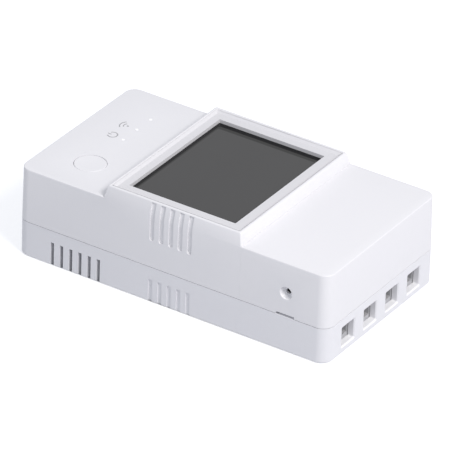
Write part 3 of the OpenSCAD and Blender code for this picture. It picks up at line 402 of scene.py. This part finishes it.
# Paler white for the frame's fall inside the rim: a painted highlight
fallHighlightWhite = plastic("fallHighlightWhite", (0.73, 0.725, 0.743), 0.4)
inkGrey = plastic("inkGrey", (0.42, 0.42, 0.43), 0.55, depth=0.05, drift=0.04)
solderTin = metal("solderTin", (0.82, 0.83, 0.84), (0.6, 0.61, 0.63), 0.16, depth=0.1)
for node, shown in frame["nodes"].items():
    shown.data.materials.clear()
    shown.data.materials.append(materials[slotOf[node]])
print("stage: materials made")


# The evaluated mesh of an object as a plain new piece
def applied(source, piece):
    bpy.context.view_layer.update()
    graph = bpy.context.evaluated_depsgraph_get()
    mesh = bpy.data.meshes.new_from_object(source.evaluated_get(graph))
    mesh.name = piece
    made = bpy.data.objects.new(piece, mesh)
    collection.objects.link(made)
    bpy.data.objects.remove(source)
    return made


def finishForm(form, piece, smooth=False):
    bmesh.ops.recalc_face_normals(form, faces=form.faces)
    for face in form.faces:
        face.smooth = smooth
    mesh = bpy.data.meshes.new(piece)
    form.to_mesh(mesh)
    form.free()
    made = bpy.data.objects.new(piece, mesh)
    collection.objects.link(made)
    return made


def paint(piece, material):
    piece.data.materials.clear()
    piece.data.materials.append(material)


# A second finish for the faces that a test of place and normal picks out
def paintWhere(piece, material, test):
    piece.data.materials.append(material)
    index = len(piece.data.materials) - 1
    for face in piece.data.polygons:
        if test(face.center, face.normal):
            face.material_index = index


# A piece that takes the place of a node
def stand(piece, body, node):
    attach(piece, body)
    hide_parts(node)


# A piece that is added to a node's body, beside the pieces that replace nodes
def addTo(piece, node):
    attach(piece, bodyOf[node])


# Draws the wall of a round shaft in, to leave room for a thread or a winding
def narrowShaft(form, along, centre, radius, by):
    onWall = 0.03 * mm
    across = [axis for axis in range(3) if axis != along]
    scale = (radius - by) / radius
    for vert in form.verts:
        offset = [vert.co[axis] - centre[axis] for axis in across]
        if abs(math.hypot(*offset) - radius) < onWall:
            for axis, distance in zip(across, offset):
                vert.co[axis] = centre[axis] + distance * scale


# Cuts a line into the faces given, where a plane crosses them
def cutFaces(form, faces, place, normal):
    edges = list(dict.fromkeys(edge for face in faces for edge in face.edges))
    verts = list(dict.fromkeys(vert for face in faces for vert in face.verts))
    bmesh.ops.bisect_plane(form, geom=faces + edges + verts, plane_co=place, plane_no=normal)


# Rules for all softened pieces: points merge within a length, and angles are in degrees
softening = {"merge": 0.014 * mm, "flat": 1.2, "sharp": 28, "segments": 2}


# A piece cut from the CAD form, with its hard edges broken by a small radius in mm. Before that,
# shafts are narrowed, and shifts and reshape change the form. Places have a radius of their own
def softened(node, piece, radius, shafts=(), places=(), shifts=(), reshape=None):
    mesh = frame["nodes"][node].data.copy()
    for layer in ("custom_normal", "sharp_edge", "sharp_face"):
        if mesh.attributes.get(layer):
            mesh.attributes.remove(mesh.attributes[layer])
    form = bmesh.new()
    form.from_mesh(mesh)
    bmesh.ops.remove_doubles(form, verts=form.verts, dist=softening["merge"])
    bmesh.ops.dissolve_limit(form, angle_limit=math.radians(softening["flat"]), verts=form.verts,
        edges=form.edges)
    bmesh.ops.recalc_face_normals(form, faces=form.faces)
    for shaft in shafts:
        narrowShaft(form, **shaft)
    for test, move in shifts:
        for vert in form.verts:
            if test(vert.co):
                vert.co += move
    if reshape:
        reshape(form)
        form.normal_update()
    widest = max([radius] + [wider for test, wider in places])
    weights = form.edges.layers.float.new("bevel_weight_edge")
    for edge in form.edges:
        if edge.is_manifold and edge.calc_face_angle() > math.radians(softening["sharp"]):
            middle = (edge.verts[0].co + edge.verts[1].co) / 2
            fitting = [wider for test, wider in places if test(middle)]
            edge[weights] = (fitting[0] if fitting else radius) / widest
    for face in form.faces:
        face.smooth = True
    form.to_mesh(mesh)
    form.free()
    rough = bpy.data.objects.new(piece + "Form", mesh)
    collection.objects.link(rough)
    bevel = rough.modifiers.new("Edge", "BEVEL")
    bevel.width = widest * mm
    bevel.segments = softening["segments"]
    bevel.limit_method = "WEIGHT"
    bevel.use_clamp_overlap = False
    bevel.harden_normals = True
    return applied(rough, piece)


def standSoftened(node, piece, radius, **changes):
    made = softened(node, piece, radius, **changes)
    paint(made, materials[slotOf[node]])
    stand(made, bodyOf[node], node)
    return made


# Places where an edge is sharper or softer than the rest, or where a form is shifted
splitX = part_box("terminal_cover")[0].x
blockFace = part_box("terminal_housing")[1].x
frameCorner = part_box("display_frame")[1]
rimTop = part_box("main_cover")[1].z
reach = {"split": 0.1 * mm, "blockFace": 0.02 * mm, "rim": 0.3 * mm, "rimTop": 0.05 * mm}


def atSplit(place):
    return abs(place.x - splitX) < reach["split"]


def atBlockFace(place):
    return place.x > blockFace - reach["blockFace"]


def atRim(place):
    inside = all(abs(place[axis]) < frameCorner[axis] + reach["rim"] for axis in range(2))
    return inside and place.z > rimTop - reach["rimTop"]


# The wire windows flare at their outer edge, and their sills are painted paler as a painted
# highlight where the light falls on them
wireWindow = {"size": 6.1 * mm, "sill": 2.1 * mm, "pitch": 10.8 * mm, "count": 4, "wall": 2 * mm,
    "slack": 0.01 * mm, "sideways": 0.1, "run": 0.35 * mm, "flare": 0.1}
sillHighlightZone = {"half": 3.5 * mm, "deep": 2.1 * mm, "top": 3 * mm, "up": 0.2}


# A place on the end wall, measured sideways and up from the middle of the nearest window
def fromWindow(place):
    row = math.floor(place.y / wireWindow["pitch"]) + 0.5
    up = place.z - wireWindow["sill"] - wireWindow["size"] / 2
    return place.y - row * wireWindow["pitch"], up


def onWindow(place):
    half = wireWindow["size"] / 2 + wireWindow["slack"]
    side, up = fromWindow(place)
    deep = cadBox[1].x - wireWindow["wall"] - wireWindow["slack"]
    inRow = abs(place.y) < wireWindow["count"] / 2 * wireWindow["pitch"]
    return abs(side) < half and abs(up) < half and place.x > deep and inRow


def flareWindows(form):
    near = [face for face in form.faces if abs(face.normal.x) < wireWindow["sideways"]
        and onWindow(face.calc_center_median())]
    cutFaces(form, near, (cadBox[1].x - wireWindow["run"], 0, 0), (1, 0, 0))
    for vert in form.verts:
        if vert.co.x > cadBox[1].x - wireWindow["slack"] and onWindow(vert.co):
            side, up = fromWindow(vert.co)
            vert.co.y += side * wireWindow["flare"]
            vert.co.z += min(up, 0) * wireWindow["flare"]


# The sill faces that are painted paler as a painted highlight
def onSill(place, normal):
    near = abs(fromWindow(place)[0]) < sillHighlightZone["half"] and place.z < sillHighlightZone["top"]
    return near and place.x > cadBox[1].x - sillHighlightZone["deep"] and normal.z > sillHighlightZone["up"]


# The screen frame falls over a short run inside the rim to a nearly level band, and its opening
# is wider than the solid's on three sides, as in the photo
screenBand = {"end": 3.6 * mm, "side": 3.85 * mm, "run": 0.2, "low": 0.75 * mm, "rest": 0.08 * mm,
    "left": 0.7 * mm, "front": 0.3 * mm, "back": 0.7 * mm, "slack": 0.02 * mm, "up": 0.5,
    "fall": (0.5, 0.95)}


def shapeFrame(form):
    band = Vector((screenBand["end"], screenBand["side"], 0))
    run, opening = band * screenBand["run"], frameCorner - band
    for axis, normal in enumerate((Vector((1, 0, 0)), Vector((0, 1, 0)))):
        for side in (-1, 1):
            top = [face for face in form.faces if face.normal.z > screenBand["up"]]
            cutFaces(form, top, normal * side * (frameCorner[axis] - run[axis]), normal)
    form.normal_update()
    for vert in form.verts:
        spot = vert.co
        if all(abs(spot[axis]) < opening[axis] + screenBand["slack"] for axis in range(2)):
            spot.x -= screenBand["left"] if spot.x < 0 else 0
            spot.y += screenBand["back"] if spot.y > 0 else -screenBand["front"]
        elif all(face.normal.z > screenBand["up"] for face in vert.link_faces):
            share = min((frameCorner[axis] - abs(spot[axis])) / run[axis] for axis in range(2))
            drop = screenBand["low"] - screenBand["rest"]
            spot.z = frameCorner.z - drop * min(share, 1)


# The faces of the frame's fall, which are painted paler as a painted highlight
def onFall(place, normal):
    return screenBand["fall"][0] < normal.z < screenBand["fall"][1]


softenedPieces = {
    "base_shell": {"piece": "tray", "radius": 0.05, "reshape": flareWindows},
    "main_cover": {"piece": "mainCover", "radius": 0.04,
        "places": ((atSplit, 0.01), (atRim, 0.22))},
    "terminal_cover": {"piece": "terminalCover", "radius": 0.04, "places": ((atSplit, 0.01),),
        "shifts": ((atSplit, Vector((-0.045 * mm, 0, 0))),)},
    "display_frame": {"piece": "screenFrame", "radius": 0.04, "reshape": shapeFrame},
    "display_lens": {"piece": "screenWindow", "radius": 0.05},
    "lcd_backlight": {"piece": "lightBox", "radius": 0.15},
    "panel_board": {"piece": "panelBoard", "radius": 0.05},
    "main_board": {"piece": "mainBoard", "radius": 0.05},
    "status_leds": {"piece": "statusLamps", "radius": 0.05},
    "switch_body": {"piece": "switchBody", "radius": 0.06},
    "switch_plunger": {"piece": "switchPlunger", "radius": 0.12},
    "terminal_housing": {"piece": "terminalBlock", "radius": 0.12,
        "shifts": ((atBlockFace, Vector((0.4 * mm, 0, 0))),)},
    "terminal_tongues": {"piece": "terminalTongues", "radius": 0.08},
    "relay_case": {"piece": "relayCase", "radius": 0.3},
    "relay_base": {"piece": "relayBase", "radius": 0.12},
    "relay_yoke": {"piece": "relayYoke", "radius": 0.12},
    "relay_armature": {"piece": "relayArmature", "radius": 0.06},
    "relay_contacts": {"piece": "relayContacts", "radius": 0.06},
    "film_capacitor": {"piece": "filmCapacitor", "radius": 0.4},
    "varistor": {"piece": "varistorDisc", "radius": 0.35},
    "rectifier": {"piece": "bridgeRectifier", "radius": 0.08},
    "shunt": {"piece": "meterShunt", "radius": 0.12},
    "metering_chip": {"piece": "meterChip", "radius": 0.05},
    "radio_board": {"piece": "radioBoard", "radius": 0.05},
    "radio_shield": {"piece": "radioShield", "radius": 0.15},
    "header_socket": {"piece": "headerSocket", "radius": 0.1},
    "panel_screws": {"piece": "panelScrews", "radius": 0.1},
}
for number in range(1, wireWindow["count"] + 1):
    softenedPieces[f"clamp_cage_{number}"] = {"piece": f"boxClamp{number}", "radius": 0.12}
for node, values in softenedPieces.items():
    made = standSoftened(node, **values)
    if node.startswith("clamp_cage"):
        paint(made, clampZinc)
# The sills and the frame's fall are painted paler as painted highlights
paintWhere(bpy.data.objects["tray"], sillHighlightWhite, onSill)
paintWhere(bpy.data.objects["screenFrame"], fallHighlightWhite, onFall)
print("stage: shells and plain inner pieces softened")


# A wire or a ridge swept along a helix: every thread and winding is grown by this group
def makeHelixGroup():
    stepsPerTurn = 28
    tree = bpy.data.node_groups.new("helixSweep", "GeometryNodeTree")
    sockets = (("Radius", "NodeSocketFloat"), ("Height", "NodeSocketFloat"),
        ("Turns", "NodeSocketFloat"), ("Wire", "NodeSocketFloat"), ("Sides", "NodeSocketInt"),
        ("Place", "NodeSocketVector"), ("Turn", "NodeSocketVector"),
        ("Finish", "NodeSocketMaterial"))
    for label, kind in sockets:
        tree.interface.new_socket(label, in_out="INPUT", socket_type=kind)
    tree.interface.new_socket("Geometry", in_out="OUTPUT", socket_type="NodeSocketGeometry")
    given, out = tree.nodes.new("NodeGroupInput"), tree.nodes.new("NodeGroupOutput")
    spiral = feedAll(tree, addNode(tree, "GeometryNodeCurveSpiral"), {
        "Resolution": stepsPerTurn, "Start Radius": given.outputs["Radius"],
        "End Radius": given.outputs["Radius"], "Height": given.outputs["Height"],
        "Rotations": given.outputs["Turns"]})
    section = feedAll(tree, addNode(tree, "GeometryNodeCurvePrimitiveCircle"), {
        "Radius": given.outputs["Wire"], "Resolution": given.outputs["Sides"]})
    sweep = feedAll(tree, addNode(tree, "GeometryNodeCurveToMesh"), {"Fill Caps": True,
        "Curve": spiral.outputs["Curve"], "Profile Curve": section.outputs["Curve"]})
    move = feedAll(tree, addNode(tree, "GeometryNodeTransform"), {
        "Geometry": sweep.outputs["Mesh"], "Translation": given.outputs["Place"],
        "Rotation": given.outputs["Turn"]})
    real = feedAll(tree, addNode(tree, "GeometryNodeRealizeInstances"), {
        "Geometry": move.outputs["Geometry"]})
    finish = feedAll(tree, addNode(tree, "GeometryNodeSetMaterial"), {
        "Geometry": real.outputs["Geometry"], "Material": given.outputs["Finish"]})
    link(tree, finish.outputs["Geometry"], out.inputs["Geometry"])
    return tree


helixGroup = makeHelixGroup()


# A helix that is grown as a piece of its own and added to a node's body
def helix(piece, node, values):
    seed = bpy.data.objects.new(piece + "Seed", bpy.data.meshes.new(piece + "Seed"))
    collection.objects.link(seed)
    modifier = seed.modifiers.new("Grow", "NODES")
    modifier.node_group = helixGroup
    for item in helixGroup.interface.items_tree:
        if item.in_out == "INPUT":
            modifier[item.identifier] = values[item.name]
    addTo(applied(seed, piece), node)


# A vee thread that fills the space a narrowed shank leaves
def thread(piece, node, centre, low, high, values):
    helix(piece, node, {"Radius": values["radius"] - values["depth"], "Height": high - low,
        "Turns": (high - low) / values["pitch"], "Wire": values["depth"], "Sides": 4,
        "Place": (centre[0], centre[1], low), "Turn": (0.0, 0.0, 0.0),
        "Finish": materials[slotOf[node]]})


# Round enamelled wire, laid turn by turn on a core that is narrowed for it
def winding(piece, node, radius, run, place, turn, wire):
    spread = 2.1
    helix(piece, node, {"Radius": radius - wire, "Height": run, "Turns": run / (spread * wire),
        "Wire": wire, "Sides": 8, "Place": place, "Turn": turn, "Finish": enamelWire})


def makeClampScrews():
    screw = {"edge": 0.1, "radius": 2 * mm, "headHeight": 2.4 * mm, "pitch": 0.7 * mm,
        "depth": 0.24 * mm, "start": 0.4 * mm, "end": 0.4 * mm}
    for number in range(1, wireWindow["count"] + 1):
        node = f"terminal_screw_{number}"
        low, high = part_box(node)
        centre = (low + high) / 2
        shaft = {"along": 2, "centre": centre, "radius": screw["radius"], "by": screw["depth"]}
        standSoftened(node, f"clampScrew{number}", screw["edge"], shafts=(shaft,))
        thread(f"clampThread{number}", node, centre, low.z + screw["start"],
            high.z - screw["headHeight"] - screw["end"], screw)


def makeCaseScrews():
    screw = {"edge": 0.08, "radius": 1.4 * mm, "headRadius": 2.7 * mm, "headHeight": 1.7 * mm,
        "pitch": 1.0 * mm, "depth": 0.26 * mm, "start": 0.5 * mm, "end": 0.4 * mm}
    low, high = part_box("case_screws")
    inset = screw["headRadius"]
    centres = [Vector((x, y, 0)) for x in (low.x + inset, high.x - inset)
        for y in (low.y + inset, high.y - inset)]
    shafts = [{"along": 2, "centre": centre, "radius": screw["radius"], "by": screw["depth"]}
        for centre in centres]
    standSoftened("case_screws", "caseScrews", screw["edge"], shafts=shafts)
    for number, centre in enumerate(centres, 1):
        thread(f"caseThread{number}", "case_screws", centre,
            low.z + screw["headHeight"] + screw["start"], high.z - screw["end"], screw)


def makeCoil():
    coil = {"edge": 0.1, "wire": 0.14 * mm, "flange": 0.7 * mm, "cheek": 0.8 * mm,
        "length": 15 * mm}
    low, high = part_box("relay_coil")
    outer = (high.x - low.x) / 2
    radius = outer - coil["flange"]
    centre = Vector(((low.x + high.x) / 2, low.y, low.z + outer))
    shaft = {"along": 1, "centre": centre, "radius": radius, "by": 2 * coil["wire"]}
    made = standSoftened("relay_coil", "coilBobbin", coil["edge"], shafts=(shaft,))
    paint(made, materials["relay_black"])
    run = coil["length"] - 2 * coil["cheek"] - 2 * coil["wire"]
    place = (centre.x, low.y + coil["cheek"] + coil["wire"], centre.z)
    winding("coilWire", "relay_coil", radius, run, place, (-math.pi / 2, 0.0, 0.0), coil["wire"])


def makeChoke():
    choke = {"edge": 0.12, "wire": 0.24 * mm, "flange": 0.7 * mm, "cheek": 1.2 * mm}
    low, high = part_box("choke")
    centre = (low + high) / 2
    radius = (high.x - low.x) / 2 - choke["flange"]
    shaft = {"along": 2, "centre": centre, "radius": radius, "by": 2 * choke["wire"]}
    standSoftened("choke", "chokeCore", choke["edge"], shafts=(shaft,))
    run = high.z - low.z - 2 * choke["cheek"] - 2 * choke["wire"]
    place = (centre.x, centre.y, low.z + choke["cheek"] + choke["wire"])
    winding("chokeWire", "choke", radius, run, place, (0.0, 0.0, 0.0), choke["wire"])


makeClampScrews()
makeCaseScrews()
makeCoil()
makeChoke()


# Nodes of more than one stuff, whose faces are picked by their place. The transformer's bobbin is
# black beside its yellow tape, and its core is ferrite
def makeTransformer():
    values = {"edge": 0.2, "tape": 6.2 * mm, "skin": 0.15 * mm, "foot": 3 * mm, "core": 3 * mm,
        "leg": 5.4 * mm, "lid": 0.3 * mm, "slack": 0.1 * mm}
    low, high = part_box("transformer")
    middle = (low + high) / 2

    def offTape(place, normal):
        outward = math.hypot(place.x - middle.x, place.y - middle.y)
        return abs(outward - values["tape"]) > values["skin"]

    def onCore(place, normal):
        between = abs(place.y - middle.y) < values["core"] + values["slack"] / 2
        leg = between and abs(place.x - middle.x) > values["leg"]
        above = place.z > low.z + values["foot"] + values["slack"]
        return above and leg or place.z > high.z - values["lid"]

    made = standSoftened("transformer", "transformer", values["edge"])
    paintWhere(made, materials["black_plastic"], offTape)
    paintWhere(made, ferrite, onCore)


def makeCapacitors():
    values = {"edge": 0.18, "top": 0.5 * mm, "up": 0.6}
    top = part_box("smoothing_capacitors")[1].z
    made = standSoftened("smoothing_capacitors", "smoothingCapacitors", values["edge"])
    paintWhere(made, materials["tin"],
        lambda place, normal: normal.z > values["up"] and place.z > top - values["top"])


def makeFuse():
    values = {"edge": 0.15, "cap": 2.2 * mm, "slack": 0.1 * mm}
    low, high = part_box("fuse")
    capEnd = values["cap"] + values["slack"]
    made = standSoftened("fuse", "fuse", values["edge"])
    paintWhere(made, materials["tin"],
        lambda place, normal: min(place.x - low.x, high.x - place.x) < capEnd)


def makePins():
    values = {"edge": 0.06, "carrier": 2.5 * mm, "slack": 0.05 * mm}
    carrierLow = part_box("header_pins")[1].z - values["carrier"]
    made = standSoftened("header_pins", "headerPins", values["edge"])
    paintWhere(made, materials["black_plastic"],
        lambda place, normal: place.z > carrierLow - values["slack"])


# The feet of a chip stand out beside its body, at the board
def paintFeet(node, piece):
    foot = 0.45 * mm
    low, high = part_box(node)

    def onFoot(place, normal):
        inward = min(place.x - low.x, high.x - place.x, place.y - low.y, high.y - place.y)
        return place.z < low.z + foot and inward < foot

    paintWhere(bpy.data.objects[piece], materials["tin"], onFoot)


makeTransformer()
makeCapacitors()
makeFuse()
makePins()
paintFeet("rectifier", "bridgeRectifier")
paintFeet("metering_chip", "meterChip")
print("stage: screws, windings and mixed pieces made")


# Revolved pieces: a profile of radius and height turned about a point
def turned(piece, profile, centre, steps=64):
    form = bmesh.new()
    rings = []
    for radius, height in profile:
        if radius == 0:
            rings.append([form.verts.new((centre[0], centre[1], height))])
            continue
        turns = [2 * math.pi * i / steps for i in range(steps)]
        rings.append([form.verts.new((centre[0] + radius * math.cos(turn),
            centre[1] + radius * math.sin(turn), height)) for turn in turns])
    for lower, upper in zip(rings, rings[1:]):
        for i in range(steps):
            k = (i + 1) % steps
            if len(lower) == 1:
                form.faces.new((lower[0], upper[k], upper[i]))
            elif len(upper) == 1:
                form.faces.new((lower[i], lower[k], upper[0]))
            else:
                form.faces.new((lower[i], lower[k], upper[k], upper[i]))
    return finishForm(form, piece, smooth=True)


# Solder drawn up round the foot of each terminal leg
def makeSolder():
    joint = {"reach": 1.2 * mm, "rise": 0.9 * mm, "sink": 0.03 * mm, "leg": 0.6 * mm,
        "stretch": 1.9, "narrow": 0.62, "curve": 2.2, "steps": 8, "sides": 40}
    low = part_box("terminal_tongues")[0]
    foot = low.z - joint["sink"]
    halfWay = (wireWindow["count"] - 1) / 2
    for number in range(wireWindow["count"]):
        middle = (low.x + joint["leg"], (number - halfWay) * wireWindow["pitch"])
        profile = [(0, foot), (joint["reach"], foot), (joint["reach"], low.z)]
        for step in range(1, joint["steps"] + 1):
            share = step / joint["steps"]
            profile.append((joint["reach"] - joint["reach"] * joint["narrow"] * share,
                low.z + joint["rise"] * share ** joint["curve"]))
        profile.append((0, low.z + joint["rise"]))
        made = turned(f"tongueSolder{number + 1}", profile, middle, steps=joint["sides"])
        for vert in made.data.vertices:
            vert.co.y = middle[1] + (vert.co.y - middle[1]) * joint["stretch"]
        paint(made, solderTin)
        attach(made, bodyOf["terminal_tongues"])


makeSolder()


# The button: its face is dished a little and its rim is rounded
def makeButton():
    button = {"radius": 4.45 * mm, "dish": 0.12 * mm, "rim": 0.22 * mm, "flange": 0.5 * mm,
        "bevel": 0.1 * mm, "rimSteps": 6, "dishSteps": 8}
    low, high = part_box("button_cap")
    middle = (low + high) / 2
    outer = (high.x - low.x) / 2
    radius, rim, bevel = button["radius"], button["rim"], button["bevel"]
    flangeTop = low.z + button["flange"]
    profile = [(0, low.z), (outer - bevel, low.z), (outer, low.z + bevel),
        (outer, flangeTop - bevel), (outer - bevel, flangeTop), (radius, flangeTop)]
    for step in range(button["rimSteps"] + 1):
        turn = math.pi / 2 * step / button["rimSteps"]
        profile.append((radius - rim * (1 - math.cos(turn)), high.z - rim * (1 - math.sin(turn))))
    for step in range(1, button["dishSteps"] + 1):
        share = 1 - step / button["dishSteps"]
        profile.append(((radius - rim) * share, high.z - button["dish"] * (1 - share * share)))
    made = turned("buttonFace", profile, (middle.x, middle.y))
    paint(made, materials["button_white"])
    stand(made, bodyOf["button_cap"], "button_cap")


makeButton()
print("stage: button made")


# Printed signs beside the lights: a thin ribbon of ink along an arc or a line
def ribbon(form, points, width, low, high):
    corners = ((1, low), (-1, low), (-1, high), (1, high))
    rows = []
    for i, point in enumerate(points):
        ahead = Vector(points[min(i + 1, len(points) - 1)]) - Vector(points[max(i - 1, 0)])
        side = Vector((-ahead.y, ahead.x)).normalized() * (width / 2)
        spot = Vector(point)
        rows.append([form.verts.new((*(spot + side * way), z)) for way, z in corners])
    for first, second in zip(rows, rows[1:]):
        for a in range(4):
            b = (a + 1) % 4
            form.faces.new((first[a], first[b], second[b], second[a]))
    form.faces.new(rows[0][::-1])
    form.faces.new(rows[-1])


def arcPoints(centre, radius, start, end, steps):
    points = []
    for i in range(steps + 1):
        turn = math.radians(start + (end - start) * i / steps)
        points.append((centre[0] + radius * math.cos(turn), centre[1] + radius * math.sin(turn)))
    return points


# The generic signs for power and wireless
def makeSigns():
    ink = {"sink": 0.02 * mm, "rise": 0.012 * mm, "stroke": 0.34 * mm}
    power = {"x": -38.2 * mm, "y": 1.9 * mm, "ring": 1.35 * mm, "arc": (218, 502, 40),
        "barOut": 0.15 * mm, "barIn": 0.35 * mm}
    wireless = {"x": -37.45 * mm, "y": 8.1 * mm, "waves": (1.2 * mm, 2.25 * mm),
        "arc": (132, 228, 16), "dot": 0.28 * mm}
    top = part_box("button_cap")[1].z
    low, high = top - ink["sink"], top + ink["rise"]
    x, y = power["x"], power["y"]
    form = bmesh.new()
    ribbon(form, arcPoints((x, y), power["ring"], *power["arc"]), ink["stroke"], low, high)
    bar = [(x - power["ring"] - power["barOut"], y), (x - power["barIn"], y)]
    ribbon(form, bar, ink["stroke"], low, high)
    x, y = wireless["x"], wireless["y"]
    for radius in wireless["waves"]:
        ribbon(form, arcPoints((x, y), radius, *wireless["arc"]), ink["stroke"], low, high)
    dot = wireless["dot"]
    ribbon(form, [(x - dot, y), (x + dot, y)], 2 * dot, low, high)
    signs = finishForm(form, "printedSigns")
    paint(signs, inkGrey)
    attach(signs, bodyOf["main_cover"])


makeSigns()
print("stage: signs made")


# Camera at the photo's angle, from a solve on the photo's edges
def makeCamera():
    view = {"azimuth": 32.329, "elevation": 30.807, "roll": 1.898, "distance": 1.62344,
        "aim": (0.45, -0.86, 13), "sensor": 36, "lens": 486.37, "near": 0.05, "far": 20}
    data = bpy.data.cameras.new("photoView")
    data.sensor_width = view["sensor"]
    data.lens = view["lens"]
    data.clip_start, data.clip_end = view["near"], view["far"]
    camera = bpy.data.objects.new("photoView", data)
    collection.objects.link(camera)
    turn, lift = math.radians(view["azimuth"]), math.radians(view["elevation"])
    back = Vector((math.sin(turn) * math.cos(lift), -math.cos(turn) * math.cos(lift),
        math.sin(lift)))
    camera.location = Vector(view["aim"]) * mm + back * view["distance"]
    camera.rotation_mode = "QUATERNION"
    level = (-back).to_track_quat("-Z", "Y")
    camera.rotation_quaternion = level @ Quaternion((0, 0, 1), math.radians(view["roll"]))
    bpy.context.scene.camera = camera


makeCamera()


# Plain pale floor that stays white beside the object, keeps its shadow and is unlit under it
def makeFloor():
    ground = {"colour": (0.52, 0.53, 0.56), "roughness": 0.9, "white": 0.62, "radius": 4,
        "sides": 96, "drop": 0.02 * mm}
    footprint = {"corner": 3.5 * mm, "inset": 0.5 * mm}
    material, tree, shader = startMaterial("paleFloor")
    split = splitVector(tree, ownPlace(tree))
    squares = []
    for axis, half in (("X", cadBox[1].x), ("Y", cadBox[1].y)):
        outward = mathNode(tree, "ABSOLUTE", split[axis])
        beyond = mathNode(tree, "SUBTRACT", outward, half - footprint["corner"])
        beyond = mathNode(tree, "MAXIMUM", beyond, 0.0)
        squares.append(mathNode(tree, "MULTIPLY", beyond, beyond))
    away = mathNode(tree, "SQRT", mathNode(tree, "ADD", *squares))
    beside = mathNode(tree, "GREATER_THAN", away, footprint["corner"] - footprint["inset"])
    lift = mathNode(tree, "MULTIPLY", seenMask(tree), ground["white"])
    feedAll(tree, shader, {"Base Color": ground["colour"], "Roughness": ground["roughness"],
        "Emission Color": (1, 1, 1), "Emission Strength": mathNode(tree, "MULTIPLY", lift, beside)})
    form = bmesh.new()
    bmesh.ops.create_circle(form, cap_ends=True, segments=ground["sides"],
        radius=ground["radius"])
    floor = finishForm(form, "floor")
    floor.location.z = -ground["drop"]
    paint(floor, material)


# The world lights the object evenly, and shows white to the camera
def makeWorld():
    sky = {"colour": (0.9, 0.93, 1), "strength": 0.65}
    world = bpy.data.worlds.new("studio")
    bpy.context.scene.world = world
    world.use_nodes = True
    tree = world.node_tree
    tree.nodes.clear()
    out = addNode(tree, "ShaderNodeOutputWorld")
    soft = feedAll(tree, addNode(tree, "ShaderNodeBackground"), {"Color": sky["colour"],
        "Strength": sky["strength"]})
    white = feedAll(tree, addNode(tree, "ShaderNodeBackground"), {"Color": (1, 1, 1)})
    mix = feedAll(tree, addNode(tree, "ShaderNodeMixShader"), {"Fac": seenMask(tree)})
    link(tree, soft.outputs[0], mix.inputs[1])
    link(tree, white.outputs[0], mix.inputs[2])
    link(tree, mix.outputs[0], out.inputs["Surface"])


# One square lamp from the right, which is aimed at the middle of the object
def makeKeyLamp():
    key = {"place": (0.84, -0.3, 0.95), "aim": (0, 0, 0.015), "size": 0.4, "power": 10.9,
        "colour": (1, 0.965, 0.95)}
    data = bpy.data.lights.new("keyRight", "AREA")
    data.shape = "SQUARE"
    data.size = key["size"]
    data.energy = key["power"]
    data.color = key["colour"]
    lamp = bpy.data.objects.new("keyRight", data)
    collection.objects.link(lamp)
    lamp.location = key["place"]
    lamp.rotation_mode = "QUATERNION"
    ray = Vector(key["aim"]) - Vector(key["place"])
    lamp.rotation_quaternion = ray.to_track_quat("-Z", "Y")


makeFloor()
makeWorld()
makeKeyLamp()
scene = bpy.context.scene
scene.view_settings.view_transform = "Standard"
print("stage: camera and light set")
